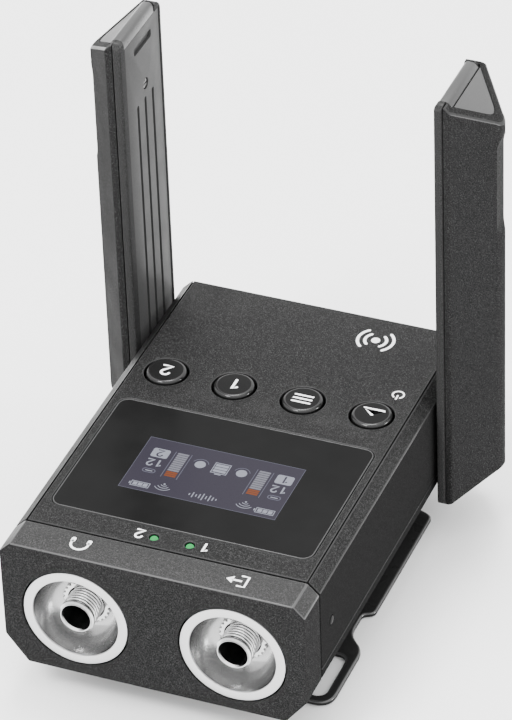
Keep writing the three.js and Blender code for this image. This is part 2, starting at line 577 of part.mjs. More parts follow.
const hubWasher = () => {
  const x1 = WIDTH / 2 - WALL - HUB_WASHER.off;
  return cut(hubRod(HUB_R + HUB_WASHER.over, x1 - HUB_WASHER.thick, x1),
    hubRod(HUB_R + 0.1, x1 - WALL, x1 + WALL));
};

// ---- belt clip -------------------------------------------------------------------------------
const earOutline = (baseZ, reach) => {
  const shape = new THREE.Shape();
  shape.moveTo(CLIP_PIN.y + reach, baseZ);
  shape.lineTo(CLIP_PIN.y + EAR_R, CLIP_PIN.z);
  if (baseZ > CLIP_PIN.z) shape.absarc(CLIP_PIN.y, CLIP_PIN.z, EAR_R, 0, -Math.PI, true);
  else shape.absarc(CLIP_PIN.y, CLIP_PIN.z, EAR_R, 0, Math.PI);
  shape.lineTo(CLIP_PIN.y - reach, baseZ);
  return shape;
};
const earPair = (outline, x) => sides.map(([, s]) => alongX(outline,
  s > 0 ? x : -x - EAR_THICK, s > 0 ? x + EAR_THICK : -x));
const pinHole = (grow) => rod('x', CLIP_PIN.r + grow, -EAR_OUT - 5, EAR_OUT + 5,
  [CLIP_PIN.y, CLIP_PIN.z]);

const clipBracket = () => {
  const x = EAR_OUT + EAR_THICK;
  const base = alongZ(roundedRect(-x, x, BRACKET.y0, BRACKET.y1, BRACKET.r), BRACKET.z, -GAP);
  const ears = earPair(earOutline(BRACKET.z + 0.5, EAR_FOOT.bracket), EAR_OUT);
  const holes = BRACKET_SCREWS.map((spot) => rod('z', SCREW_R + GAP, BRACKET.z - PAST, PAST,
    spot, 12));
  return cut(join(base, ...ears), ...holes, pinHole(0));
};

const clipPin = () => {
  const x = EAR_OUT + EAR_THICK + 2 * GAP;
  return rod('x', CLIP_PIN.r - 0.04, -x, x, [CLIP_PIN.y, CLIP_PIN.z]);
};

const clipSpring = () => cut(
  rod('x', CLIP_SPRING.r, -CLIP_SPRING.half, CLIP_SPRING.half, [CLIP_PIN.y, CLIP_PIN.z]),
  pinHole(GAP),
);

const clipOutline = () => {
  const shape = new THREE.Shape();
  const r = CLIP.loopR;
  const half = (s) => [
    [s * CLIP.loopX, CLIP.loopY1], [s * CLIP.neckX, CLIP.neckY0], [s * CLIP.neckX, CLIP.wingY0],
    [s * (CLIP.wingX - 0.4), CLIP.wingY0 + 1.2], [s * CLIP.wingX, CLIP.wingY0 + 4],
    [s * CLIP.wingX, CLIP.wingY1 - 3.5], [s * (CLIP.wingX - 1.2), CLIP.wingY1 - 1],
    [s * (CLIP.wingX - 3.5), CLIP.wingY1],
  ];
  shape.moveTo(-CLIP.loopX + r, CLIP.loopY0);
  shape.lineTo(CLIP.loopX - r, CLIP.loopY0);
  shape.absarc(CLIP.loopX - r, CLIP.loopY0 + r, r, -Math.PI / 2, 0);
  half(1).forEach(([x, y]) => shape.lineTo(x, y));
  half(-1).reverse().forEach(([x, y]) => shape.lineTo(x, y));
  shape.absarc(-CLIP.loopX + r, CLIP.loopY0 + r, r, Math.PI, 1.5 * Math.PI);
  return shape;
};

const clipArm = () => {
  const plate = alongZ(clipOutline(), PLATE_Z[0], PLATE_Z[1], 5);
  const x = CLIP.loopX - CLIP.bar;
  const loop = alongZ(roundedRect(-x, x, CLIP.loopY0 + CLIP.bar, CLIP.openY1, CLIP.openR),
    PLATE_Z[0] - PAST, PLATE_Z[1] + PAST);
  const ears = earPair(earOutline(PLATE_Z[1] - GAP, EAR_FOOT.arm), EAR_IN);
  return cut(join(plate, ...ears), loop, pinHole(0.05));
};

// ---- fasteners -------------------------------------------------------------------------------
const sidePin = (s) => rod('x', SIDE_PIN.r, s > 0 ? SIDE_PIN.from : -SIDE_PIN.to,
  s > 0 ? SIDE_PIN.to : -SIDE_PIN.from, [SIDE_PIN.y, SIDE_PIN.z]);

// ---- assembly --------------------------------------------------------------------------------
const receiver = new THREE.Group();
const add = (name, body, material) => {
  const mesh = new THREE.Mesh(toGeometry(body), material);
  mesh.name = name;
  receiver.add(mesh);
};

add('front_housing', frontHousing(), COAT());
add('front_panel', frontPanel(), COAT());
add('rear_housing', rearHousing(), COAT());
add('end_cap', endCap(), COAT());
add('window_glass', windowGlass(), GLOSS());
add('window_gasket', windowGasket(), BLACK());
add('screen_module', screenModule(), GLOSS());
add('screen_frame', screenFrame(), BLACK());
add('main_board', mainBoard(), BOARD());
add('radio_shield', radioShield(), STEEL());
add('cell_tray', cellTray(), BLACK());
add('battery_door', batteryDoor(), COAT());
add('battery_door_pin', doorPin(), STEEL());
add('battery_door_contact', doorContact(), STEEL());

BUTTON_X.forEach((x, i) => {
  add(`button_${i + 1}`, button(x), BLACK());
  add(`tact_switch_${i + 1}`, tactSwitch(x), STEEL());
});

sides.forEach(([side, s]) => {
  add(`lamp_${side}`, lamp(s * LAMP_X), GREEN());
  add(`jack_ring_${side}`, jackRing(s * JACK_X), SILVER());
  add(`jack_collar_${side}`, jackCollar(s * JACK_X), STEEL());
  add(`jack_washer_${side}`, jackWasher(s * JACK_X), STEEL());
  add(`jack_socket_${side}`, jackSocket(s * JACK_X), BLACK());
  add(`cell_${side}`, cell(s * CELL_X), CELL());
  add(`contact_spring_${side}`, contactSpring(s * CELL_X), STEEL());
  add(`coax_lead_${side}`, coaxLead(s), BLACK());
  add(`side_pin_${side}`, sidePin(s), STEEL());
});

const antennaPieces = [
  ['antenna_shell', antennaShell, COAT], ['antenna_cover', antennaCover, SATIN],
  ['antenna_inset', antennaInset, SATIN], ['antenna_screw', coverScrew, STEEL],
  ['antenna_element', antennaElement, GOLD], ['antenna_hub', antennaHub, BLACK],
  ['antenna_hub_ring', hubRing, STEEL], ['antenna_hub_washer', hubWasher, STEEL],
];
antennaPieces.forEach(([name, make, material]) => sides.forEach(([side, s]) => {
  const body = make();
  add(`${name}_${side}`, s > 0 ? body : body.mirror([1, 0, 0]), material());
}));

add('clip_bracket', clipBracket(), CLIP_BLACK());
add('clip_arm', clipArm(), CLIP_BLACK());
add('clip_pin', clipPin(), STEEL());
add('clip_spring', clipSpring(), STEEL());

receiver.position.set(0, -LENGTH / 2, -PLATE_Z[0]);
export default receiver;
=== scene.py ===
"""Wireless receiver unit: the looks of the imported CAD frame.

Lengths in this script are millimetres from the centre plane (x), the jack end (y) and the rear
face (z). TO_FRAME turns them into the frame's metres.
"""

import math

import bpy
import bmesh
from mathutils import Matrix, Vector
from mathutils.geometry import tessellate_polygon


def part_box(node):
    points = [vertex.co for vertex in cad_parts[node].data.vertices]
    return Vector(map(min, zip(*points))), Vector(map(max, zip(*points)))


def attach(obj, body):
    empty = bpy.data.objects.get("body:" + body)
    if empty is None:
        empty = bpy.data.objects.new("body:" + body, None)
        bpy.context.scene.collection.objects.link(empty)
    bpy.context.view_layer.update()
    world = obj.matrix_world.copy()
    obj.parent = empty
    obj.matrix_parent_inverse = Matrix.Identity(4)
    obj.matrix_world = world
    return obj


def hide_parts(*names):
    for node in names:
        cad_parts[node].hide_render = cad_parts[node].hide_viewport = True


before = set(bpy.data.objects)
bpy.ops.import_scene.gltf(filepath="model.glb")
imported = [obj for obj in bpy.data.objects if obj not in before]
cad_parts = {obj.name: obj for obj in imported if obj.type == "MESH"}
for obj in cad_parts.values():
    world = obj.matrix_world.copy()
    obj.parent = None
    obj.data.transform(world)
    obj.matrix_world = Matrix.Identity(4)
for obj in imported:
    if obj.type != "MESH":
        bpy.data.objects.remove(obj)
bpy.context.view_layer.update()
MM = 0.001


def box_mm(node):
    """Lowest and highest corner of a CAD node, in this script's millimetres."""
    low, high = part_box(node)
    return (low - ORIGIN) / MM, (high - ORIGIN) / MM


def middle(node):
    """Centre of a CAD node as three plain numbers, in millimetres."""
    low, high = box_mm(node)
    return [(a + b) / 2 for a, b in zip(low, high)]


ORIGIN = Vector((0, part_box("end_cap")[0].y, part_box("rear_housing")[0].z))
TO_FRAME = Matrix.Translation(ORIGIN) @ Matrix.Scale(MM, 4)

# ---- sizes taken from the frame ----
HALF_WIDTH, CAP_LENGTH, THICK = box_mm("end_cap")[1]
FRONT_LOW, FRONT_HIGH = box_mm("front_housing")
REAR_LOW = box_mm("rear_housing")[0]
LENGTH, SEAM = FRONT_HIGH.y, FRONT_LOW.z
PANEL_LOW, PANEL_HIGH = box_mm("front_panel")
GLASS_LOW, GLASS_HIGH = box_mm("window_glass")
SCREEN_LOW, SCREEN_HIGH = box_mm("screen_module")
RING_LOW, RING_HIGH = box_mm("jack_ring_right")
JACK_X, _, JACK_Z = middle("jack_ring_right")
DOOR_LOW, DOOR_HIGH = box_mm("battery_door")
_, PIVOT_Y, PIVOT_Z = middle("antenna_hub_right")
COVER_LOW, COVER_HIGH = box_mm("antenna_cover_right")
SHELL_LOW, SHELL_HIGH = box_mm("antenna_shell_right")
ARM_LOW, ARM_HIGH = box_mm("clip_arm")
SIDES = (("left", -1), ("right", 1))
BUTTONS = [f"button_{number}" for number in range(1, 5)]

# ---- sizes read from the photo or chosen ----
TOP_BEVEL = 2.5
REAR_CHAMFER = (4.9, 6.4)
GAP, WALL = 0.3, 2.0
# The end cap stops this much short, for the dark seam behind it.
SEAM_EXTRA = 0.2
HUB_HOLE, PIN_HOLE, SOCKET_HOLE = 4.3, 1.15, 12.12
BUTTON_WELL, BUTTON_HOLE = 5.6, 5.0
WELL_FLOOR = 20
HOUSING_SCREWS = [(-27, 14), (27, 14), (-27, 72), (27, 72)]
BRACKET_SCREWS = [(-8, 62), (8, 62), (0, 76)]
LAMP_X, LAMP_Y, LAMP_HOLE = 4.0, 12.0, 1.1
# Narrower strips than this are a piece's rounded edges.
EDGE_STRIP = 0.3
# Distance between faces that would otherwise share a plane.
SLIVER = 0.02
PICTURE_LEVEL = GLASS_HIGH.z - SLIVER


# ---- mesh helpers ----
def link(name, data):
    obj = bpy.data.objects.new(name, data)
    bpy.context.scene.collection.objects.link(obj)
    return obj


def evaluated(obj):
    """Mesh of the object with its modifiers applied; the object is removed."""
    depsgraph = bpy.context.evaluated_depsgraph_get()
    depsgraph.update()
    mesh = bpy.data.meshes.new_from_object(obj.evaluated_get(depsgraph))
    bpy.data.objects.remove(obj)
    return mesh


def to_mesh(bm):
    bmesh.ops.recalc_face_normals(bm, faces=bm.faces)
    mesh = bpy.data.meshes.new("part")
    bm.to_mesh(mesh)
    bm.free()
    return mesh


def joined(*meshes):
    bm = bmesh.new()
    for mesh in meshes:
        bm.from_mesh(mesh)
    return to_mesh(bm)


def moved(mesh, matrix):
    mesh = mesh.copy()
    mesh.transform(matrix)
    if matrix.determinant() < 0:
        mesh.flip_normals()
    return mesh


def shift(x=0, y=0, z=0):
    return Matrix.Translation((x, y, z))


# Turn a plate drawn in x, y so that it is drawn in x, z or in y, z instead.
UPRIGHT_X = Matrix(((1, 0, 0, 0), (0, 0, 1, 0), (0, 1, 0, 0), (0, 0, 0, 1)))
UPRIGHT_Y = Matrix(((0, 0, 1, 0), (1, 0, 0, 0), (0, 1, 0, 0), (0, 0, 0, 1)))


def arc(cx, cy, r, start, stop, steps):
    """Points on an arc, in degrees, both ends included."""
    turn = [math.radians(start + (stop - start) * i / steps) for i in range(steps + 1)]
    return [(cx + r * math.cos(a), cy + r * math.sin(a)) for a in turn]


def circle(cx, cy, r, steps=64):
    return arc(cx, cy, r, 0, 360, steps)[:-1]


def rect(x0, x1, y0, y1):
    return [(x0, y0), (x1, y0), (x1, y1), (x0, y1)]


def rounded_rect(x0, x1, y0, y1, r, steps=8):
    return (arc(x1 - r, y0 + r, r, -90, 0, steps) + arc(x1 - r, y1 - r, r, 0, 90, steps)
            + arc(x0 + r, y1 - r, r, 90, 180, steps) + arc(x0 + r, y0 + r, r, 180, 270, steps))


def bend(a, corner, b, steps):
    """Arc-like curve from a to b, pulled towards the corner between them."""
    return [tuple(a * (1 - t) ** 2 + corner * 2 * t * (1 - t) + b * t ** 2)
            for t in (k / steps for k in range(steps + 1))]


def soft_corner(before, corner, after, radius, steps=4):
    """Points that round one corner of an open outline."""
    here = Vector(corner)
    ways = [Vector(before) - here, Vector(after) - here]
    a, b = [here + way.normalized() * min(radius, way.length / 2) for way in ways]
    return bend(a, here, b, steps)


def rounded_corners(points, radius, steps=5):
    """Closed outline with each corner rounded.

    radius is one size for all corners or a list with one for each.
    """
    out = []
    count = len(points)
    radii = radius if isinstance(radius, list) else [radius] * count
    for i, corner in enumerate(points):
        here = Vector(corner)
        before = Vector(points[i - 1]) - here
        after = Vector(points[(i + 1) % count]) - here
        reach = min(radii[i], before.length * 0.45, after.length * 0.45)
        a = here + before.normalized() * reach
        b = here + after.normalized() * reach
        out += bend(a, here, b, steps)
    return out


def area(loop):
    return sum(a[0] * b[1] - b[0] * a[1] for a, b in zip(loop, loop[1:] + loop[:1])) / 2


def inset(loop, distance):
    """The loop moved to its left side by distance, with mitred corners."""
    out = []
    count = len(loop)
    for i, point in enumerate(loop):
        here = Vector(point)
        d0 = (here - Vector(loop[i - 1])).normalized()
        d1 = (Vector(loop[(i + 1) % count]) - here).normalized()
        n0, n1 = Vector((-d0.y, d0.x)), Vector((-d1.y, d1.x))
        mitre = n0 + n1
        mitre = mitre / max(mitre.length_squared / 2, 0.4)
        out.append(tuple(here + mitre * distance))
    return out


def quarter(edge, steps):
    """Inset and rise of each row of a rounded edge."""
    return [(edge * (1 - math.sin(a)), edge * (1 - math.cos(a)))
            for a in (math.pi / 2 * k / steps for k in range(steps + 1))]


def bridge(bm, rings):
    """Faces between each ring of vertices and the next."""
    for one, two in zip(rings, rings[1:]):
        for i in range(len(one)):
            bm.faces.new((one[i - 1], one[i], two[i], two[i - 1]))


def plate(loops, low, high, edge=0.15, steps=2):
    """Flat plate between low and high: the first loop is its outline, the others are holes."""
    turned = [loop if (area(loop) > 0) == (i == 0) else loop[::-1]
              for i, loop in enumerate(loops)]
    rows = [(d, low + h) for d, h in quarter(edge, steps)]
    rows += [(d, low + high - z) for d, z in reversed(rows)]
    if edge == 0:
        rows = [(0, low), (0, high)]
    bm = bmesh.new()
    caps = {0: [], len(rows) - 1: []}
    for loop in turned:
        rings = []
        for r, (distance, z) in enumerate(rows):
            flat = inset(loop, distance) if distance else loop
            ring = [bm.verts.new((x, y, z)) for x, y in flat]
            rings.append(ring)
            if r in caps:
                caps[r].append(ring)
        bridge(bm, rings)
    for rings in caps.values():
        flat = [vert for ring in rings for vert in ring]
        for tri in tessellate_polygon([[v.co for v in ring] for ring in rings]):
            if len(set(tri)) == 3:
                bm.faces.new([flat[i] for i in tri])
    return to_mesh(bm)


def lathe(profile, steps=64, closed=False):
    """Profile of (radius, height) turned about the y axis; ends on the axis unless closed."""
    bm = bmesh.new()
    rings = []
    for r, h in profile:
        around = steps if r else 1
        rings.append([bm.verts.new((r * math.cos(a), h, r * math.sin(a)))
                      for a in (2 * math.pi * i / steps for i in range(around))])
    if closed:
        rings.append(rings[0])
    for one, two in zip(rings, rings[1:]):
        for i in range(steps):
            corners = [ring[k % len(ring)]
                       for ring, k in ((one, i - 1), (one, i), (two, i), (two, i - 1))]
            unique = list(dict.fromkeys(corners))
            if len(unique) > 2:
                bm.faces.new(unique)
    return to_mesh(bm)


def block(x0, x1, y0, y1, z0, z1, edge=0.0):
    return plate([rect(x0, x1, y0, y1)], z0, z1, edge)


def rod(axis, radius, start, stop, centre, steps=48, edge=0.0):
    a, b = centre
    disc = plate([circle(0, 0, radius, steps)], start, stop, edge)
    if axis == "x":
        return moved(disc, shift(0, a, b) @ UPRIGHT_Y)
    if axis == "y":
        return moved(disc, shift(a, 0, b) @ UPRIGHT_X)
    return moved(disc, shift(a, b, 0))


def tube(path, radius):
    """Closed round wire along a list of points."""
    sides = 8
    points = [Vector(p) for p in path]
    bm = bmesh.new()
    rings = []
    normal = None
    for i, point in enumerate(points):
        ahead = points[min(i + 1, len(points) - 1)] - points[max(i - 1, 0)]
        ahead.normalize()
        if normal is None:
            normal = ahead.orthogonal().normalized()
        normal = (normal - ahead * normal.dot(ahead)).normalized()
        side = ahead.cross(normal)
        rings.append([bm.verts.new(point + (normal * math.cos(a) + side * math.sin(a)) * radius)
                      for a in (2 * math.pi * k / sides for k in range(sides))])
    bridge(bm, rings)
    bm.faces.new(rings[0])
    bm.faces.new(rings[-1])
    return to_mesh(bm)


def carve(body, *tools, operation="DIFFERENCE"):
    """The body less the tools, or only what the tools share with it."""
    base = link("base", body)
    cutters = [link("cutter", tool) for tool in tools]
    for cutter in cutters:
        change = base.modifiers.new("cut", "BOOLEAN")
        change.operation = operation
        change.solver = "EXACT"
        change.object = cutter
    mesh = evaluated(base)
    for cutter in cutters:
        bpy.data.objects.remove(cutter)
    return mesh


def rounded(mesh, width):
    """The mesh with every edge sharper than 30 degrees rounded off."""
    obj = link("round", mesh)
    bevel = obj.modifiers.new("edge", "BEVEL")
    bevel.width = width
    bevel.segments = 2
    bevel.limit_method = "ANGLE"
    bevel.angle_limit = math.radians(30)
    bevel.miter_outer = "MITER_ARC"
    return evaluated(obj)


def cad_mesh(node):
    """Copy of a CAD node's mesh in millimetres, flat faces merged."""
    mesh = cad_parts[node].data.copy()
    mesh.transform(TO_FRAME.inverted())
    bm = bmesh.new()
    bm.from_mesh(mesh)
    bmesh.ops.remove_doubles(bm, verts=bm.verts, dist=1e-3)
    bmesh.ops.dissolve_limit(bm, angle_limit=math.radians(2), verts=bm.verts, edges=bm.edges)
    return to_mesh(bm)


def piece(name, mesh, body, material, nodes=(), sharp=32, edge=None, top=None):
    """Puts a finished mesh into the scene as one visible piece of the object.

    With an edge material, the narrow strips that round its upper edges get that material: a
    lighter strip, a painted highlight on edges that face up.
    With a top material, the other faces that look up get it: a lit copy of the coat, painted
    light on the upper faces.
    """
    mesh.materials.clear()
    mesh.materials.append(material)
    if edge:
        mesh.materials.append(edge)
        if top:
            mesh.materials.append(top)
        for face in mesh.polygons:
            corners = [mesh.vertices[i].co for i in face.vertices]
            longest = max((a - b).length for a, b in zip(corners, corners[1:] + corners[:1]))
            tilted = 0.25 < face.normal.z < 0.999
            narrow = len(corners) > 3 and face.area < EDGE_STRIP * longest
            if tilted and narrow:
                face.material_index = 1
            elif top and face.normal.z > 0.4:
                face.material_index = 2
    mesh.transform(TO_FRAME)
    mesh.shade_smooth()
    mesh.set_sharp_from_angle(angle=math.radians(sharp))
    obj = link(name, mesh)
    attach(obj, body)
    if nodes:
        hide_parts(*nodes)


# ---- materials ----
def shader(name, color, roughness, metallic=0.0, specular=0.5):
    material = bpy.data.materials.new(name)
    material.use_nodes = True
    bsdf = material.node_tree.nodes["Principled BSDF"]
    for socket, value in (("Base Color", (*color, 1)), ("Roughness", roughness),
                          ("Metallic", metallic), ("Specular IOR Level", specular)):
        bsdf.inputs[socket].default_value = value
    return material, material.node_tree, bsdf


def noise(tree, size_mm, detail=2.0):
    """Noise in the piece's own coordinates, with blobs of about size_mm."""
    coords = tree.nodes.new("ShaderNodeTexCoord")
    texture = tree.nodes.new("ShaderNodeTexNoise")
    texture.inputs["Scale"].default_value = 1 / (size_mm * MM)
    texture.inputs["Detail"].default_value = detail
    tree.links.new(coords.outputs["Object"], texture.inputs["Vector"])
    return texture.outputs["Fac"]


def ramp(tree, factor, stops):
    """Colours at the given places along factor."""
    node = tree.nodes.new("ShaderNodeValToRGB")
    elements = node.color_ramp.elements
    while len(elements) < len(stops):
        elements.new(0.5)
    for element, (position, color) in zip(elements, stops):
        element.position = position
        element.color = (*color, 1)
    tree.links.new(factor, node.inputs["Fac"])
    return node.outputs["Color"]


def vary(tree, factor, low, high):
    """Noise spread over low to high."""
    node = tree.nodes.new("ShaderNodeMapRange")
    for socket, value in (("From Min", 0.3), ("From Max", 0.7), ("To Min", low),
                          ("To Max", high)):
        node.inputs[socket].default_value = value
    tree.links.new(factor, node.inputs["Value"])
    return node.outputs["Result"]


def rough(tree, bsdf, factor, low, high):
    tree.links.new(vary(tree, factor, low, high), bsdf.inputs["Roughness"])


def bump(tree, bsdf, factor, strength, distance_mm):
    node = tree.nodes.new("ShaderNodeBump")
    node.inputs["Strength"].default_value = strength
    node.inputs["Distance"].default_value = distance_mm * MM
    tree.links.new(factor, node.inputs["Height"])
    tree.links.new(node.outputs["Normal"], bsdf.inputs["Normal"])


def along(tree, space, axis):
    """One coordinate in the piece's or the sky's own space."""
    coords = tree.nodes.new("ShaderNodeTexCoord")
    split = tree.nodes.new("ShaderNodeSeparateXYZ")
    tree.links.new(coords.outputs[space], split.inputs["Vector"])
    return split.outputs[axis]


def grey(value):
    return (value, value, value)


def speckled_coat(name, base, speck, roughness, specular, grain=0.16, depth=0.05):
    """Fine textured coating with small pale specks."""
    material, tree, bsdf = shader(name, grey(base), roughness, 0.0, specular)
    fine = noise(tree, grain, 3.0)
    color = ramp(tree, fine, [(0.34, grey(base * 0.6)), (0.52, grey(base)),
                              (0.60, grey(base * 0.6 + speck * 0.4)), (0.68, grey(speck))])
    tree.links.new(color, bsdf.inputs["Base Color"])
    rough(tree, bsdf, noise(tree, 9.0), roughness - 0.05, roughness + 0.06)
    bump(tree, bsdf, fine, 0.55, depth)
    return material


def plain_plastic(name, base, roughness, grain=0.25, depth=0.02, specular=0.5):
    """Smooth plastic or paint."""
    material, tree, bsdf = shader(name, grey(base), roughness, 0.0, specular)
    fine = noise(tree, grain)
    color = ramp(tree, fine, [(0.3, grey(base * 0.88)), (0.7, grey(base * 1.1))])
    tree.links.new(color, bsdf.inputs["Base Color"])
    rough(tree, bsdf, noise(tree, 6.0), roughness - 0.04, roughness + 0.05)
    bump(tree, bsdf, fine, 0.35, depth)
    return material


def metal(name, base, roughness, grain=0.4, depth=0.004, warm=1.0):
    """Bare metal; warm under 1 makes it like copper."""
    color = (base, base * (1 + warm) / 2, base * warm)
    material, tree, bsdf = shader(name, color, roughness, 1.0)
    fine = noise(tree, grain)
    tint = ramp(tree, fine, [(0.3, tuple(c * 0.9 for c in color)), (0.7, color)])
    tree.links.new(tint, bsdf.inputs["Base Color"])
    rough(tree, bsdf, fine, roughness * 0.85, roughness * 1.2)
    bump(tree, bsdf, fine, 0.3, depth)
    return material


def glowing(name, color, strength=1.0):
    material, tree, bsdf = shader(name, grey(0.005), 0.3, 0.0, 0.05)
    bsdf.inputs["Emission Color"].default_value = (*color, 1)
    bsdf.inputs["Emission Strength"].default_value = strength
    fine = noise(tree, 0.15, 1.0)
    tint = ramp(tree, fine, [(0.3, tuple(c * 0.85 for c in color)), (0.7, color)])
    tree.links.new(tint, bsdf.inputs["Emission Color"])
    return material


# The coats below are copies of one textured coat. Each is lighter or darker by how its faces
# turn to the light: painted light and shade.
COAT = speckled_coat("coat", 0.005, 0.054, 0.46, 0.08)
CAP_COAT = speckled_coat("cap_coat", 0.015, 0.046, 0.5, 0.0)
# Lit copy of the cap's coat, with paler specks and more sheen, for its faces that look up:
# painted light.
CAP_LIT_TOP = speckled_coat("cap_lit_top", 0.014, 0.07, 0.46, 0.14)
ANTENNA_COAT = speckled_coat("antenna_coat", 0.012, 0.05, 0.55, 0.01)
# Lighter copy of the antenna coat for the cover frame: painted light on the cover's near strips,
# which face the light.
LIT_COVER_COAT = speckled_coat("lit_cover_coat", 0.022, 0.06, 0.5, 0.01)
# Shaded copy of the coat for faces that look sideways, duller and without sheen: painted shade
# on the sides.
SHADED_SIDE_COAT = speckled_coat("shaded_side_coat", 0.012, 0.022, 0.5, 0.0, 0.15, 0.015)
# Lighter, shinier strips for rounded edges that face up: painted highlights along the edges.
EDGE_HIGHLIGHT = plain_plastic("painted_edge_highlight", 0.024, 0.26, 0.2, 0.006, 0.12)
# Lighter strips for the rounded edges of the cap, the clip and the buttons: painted highlights.
CAP_EDGE_HIGHLIGHT = plain_plastic("cap_edge_highlight", 0.045, 0.3, 0.2, 0.006, 0.3)
CLIP_EDGE_HIGHLIGHT = plain_plastic("clip_edge_highlight", 0.04, 0.16, 0.2, 0.004)
BUTTON_RIM_HIGHLIGHT = plain_plastic("button_rim_highlight", 0.01, 0.2, 0.3, 0.004, 0.32)
SATIN = plain_plastic("satin", 0.05, 0.4, 0.3, 0.008, 0.03)
INSET_SATIN = plain_plastic("inset_satin", 0.068, 0.42, 0.2, 0.012, 0.12)
LIP_SATIN = plain_plastic("lip_satin", 0.035, 0.3, 0.2, 0.008, 0.4)
BLACK = plain_plastic("black", 0.01, 0.5, specular=0.3)
BUTTON = plain_plastic("button", 0.006, 0.4, 0.3, 0.008, 0.05)
PRINTED_GLASS = plain_plastic("printed_glass", 0.007, 0.22, 12.0, 0.001, 0.03)
CLIP_BLACK = plain_plastic("clip_black", 0.014, 0.3, 0.5, 0.01, 0.06)
# Lighter band for the glass's bevelled edge: painted highlight around the window.
WINDOW_RIM_HIGHLIGHT = plain_plastic("window_rim_highlight", 0.035, 0.3, 0.3, 0.004, 0.3)
PIN_BLACK = plain_plastic("pin_black", 0.012, 0.3, 0.2, 0.006, 0.02)
WHITE = plain_plastic("white_print", 0.85, 0.5)
BOARD = plain_plastic("board", 0.03, 0.35, 2.0, 0.01)
SILVER = metal("silver", 0.62, 0.42, 0.2, 0.04)
# Darker metal for the socket's dish: painted shade inside the recess.
SHADED_DISH_METAL = metal("dish", 0.38, 0.2, 0.5)
NICKEL = metal("nickel", 0.62, 0.14)
# Dark metal showing in the thread's roots: painted shade in the grooves.
THREAD_ROOT_SHADE = metal("groove", 0.1, 0.3)
STEEL = metal("steel", 0.6, 0.3, 0.4, 0.006)
DARK_STEEL = metal("dark_steel", 0.09, 0.3, 0.4, 0.006)
COPPER = metal("copper", 0.75, 0.35, 0.4, 0.006, 0.5)
LAMP = glowing("lamp", (0.05, 0.78, 0.2), 1.1)
SCREEN = glowing("screen", (0.058, 0.05, 0.08))
SCREEN_WHITE = glowing("screen_white", (0.52, 0.54, 0.64))
SCREEN_PALE = glowing("screen_pale", (0.34, 0.34, 0.4))
SCREEN_DIM = glowing("screen_dim", (0.2, 0.2, 0.27))
SCREEN_ORANGE = glowing("screen_orange", (0.36, 0.09, 0.02))


def cell_sleeve():
    """Printed sleeve of a battery cell: steel ends, blue body, copper-coloured band."""
    steel, blue, band = (0.5, 0.5, 0.5), (0.03, 0.08, 0.22), (0.5, 0.35, 0.12)
    material, tree, bsdf = shader("cell_sleeve", (0.05, 0.1, 0.25), 0.25)
    low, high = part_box("cell_left")
    place = tree.nodes.new("ShaderNodeMapRange")
    place.inputs["From Min"].default_value = low.y
    place.inputs["From Max"].default_value = high.y
    tree.links.new(along(tree, "Object", "Y"), place.inputs["Value"])
    color = ramp(tree, place.outputs["Result"], [
        (0.0, steel), (0.03, blue), (0.7, blue), (0.74, band), (0.97, band),
        (0.985, grey(0.6))])
    tree.links.new(color, bsdf.inputs["Base Color"])
    rough(tree, bsdf, noise(tree, 3.0), 0.2, 0.32)
    return material


CELL = cell_sleeve()


# ---- body shells ----
def upper_corners():
    x, z, bevel = HALF_WIDTH, THICK, TOP_BEVEL
    return [(x, z - bevel), (x - bevel, z), (bevel - x, z), (-x, z - bevel)]


def lower_corners():
    (cx, cz), x = REAR_CHAMFER, HALF_WIDTH
    return [(-x, cz), (-x + cx, 0), (x - cx, 0), (x, cz)]


def slab(outline, y0, y1, edge, end_edge):
    """Outline in x, z pushed along y, with long edges and end edges rounded."""
    loop = rounded_corners(outline, edge, 4)
    return moved(plate([loop], y0, y1, end_edge, 3), UPRIGHT_X)


def door_opening():
    return block(DOOR_LOW.x - GAP, DOOR_HIGH.x + GAP, LENGTH - 5, LENGTH + 1,
                 DOOR_LOW.z - GAP, DOOR_HIGH.z + GAP)


def side_hole(radius, s, centre, steps=48):
    """Cutter through the wall on side s."""
    return rod("x", radius, *sorted((s * 30, s * 36)), centre, steps)


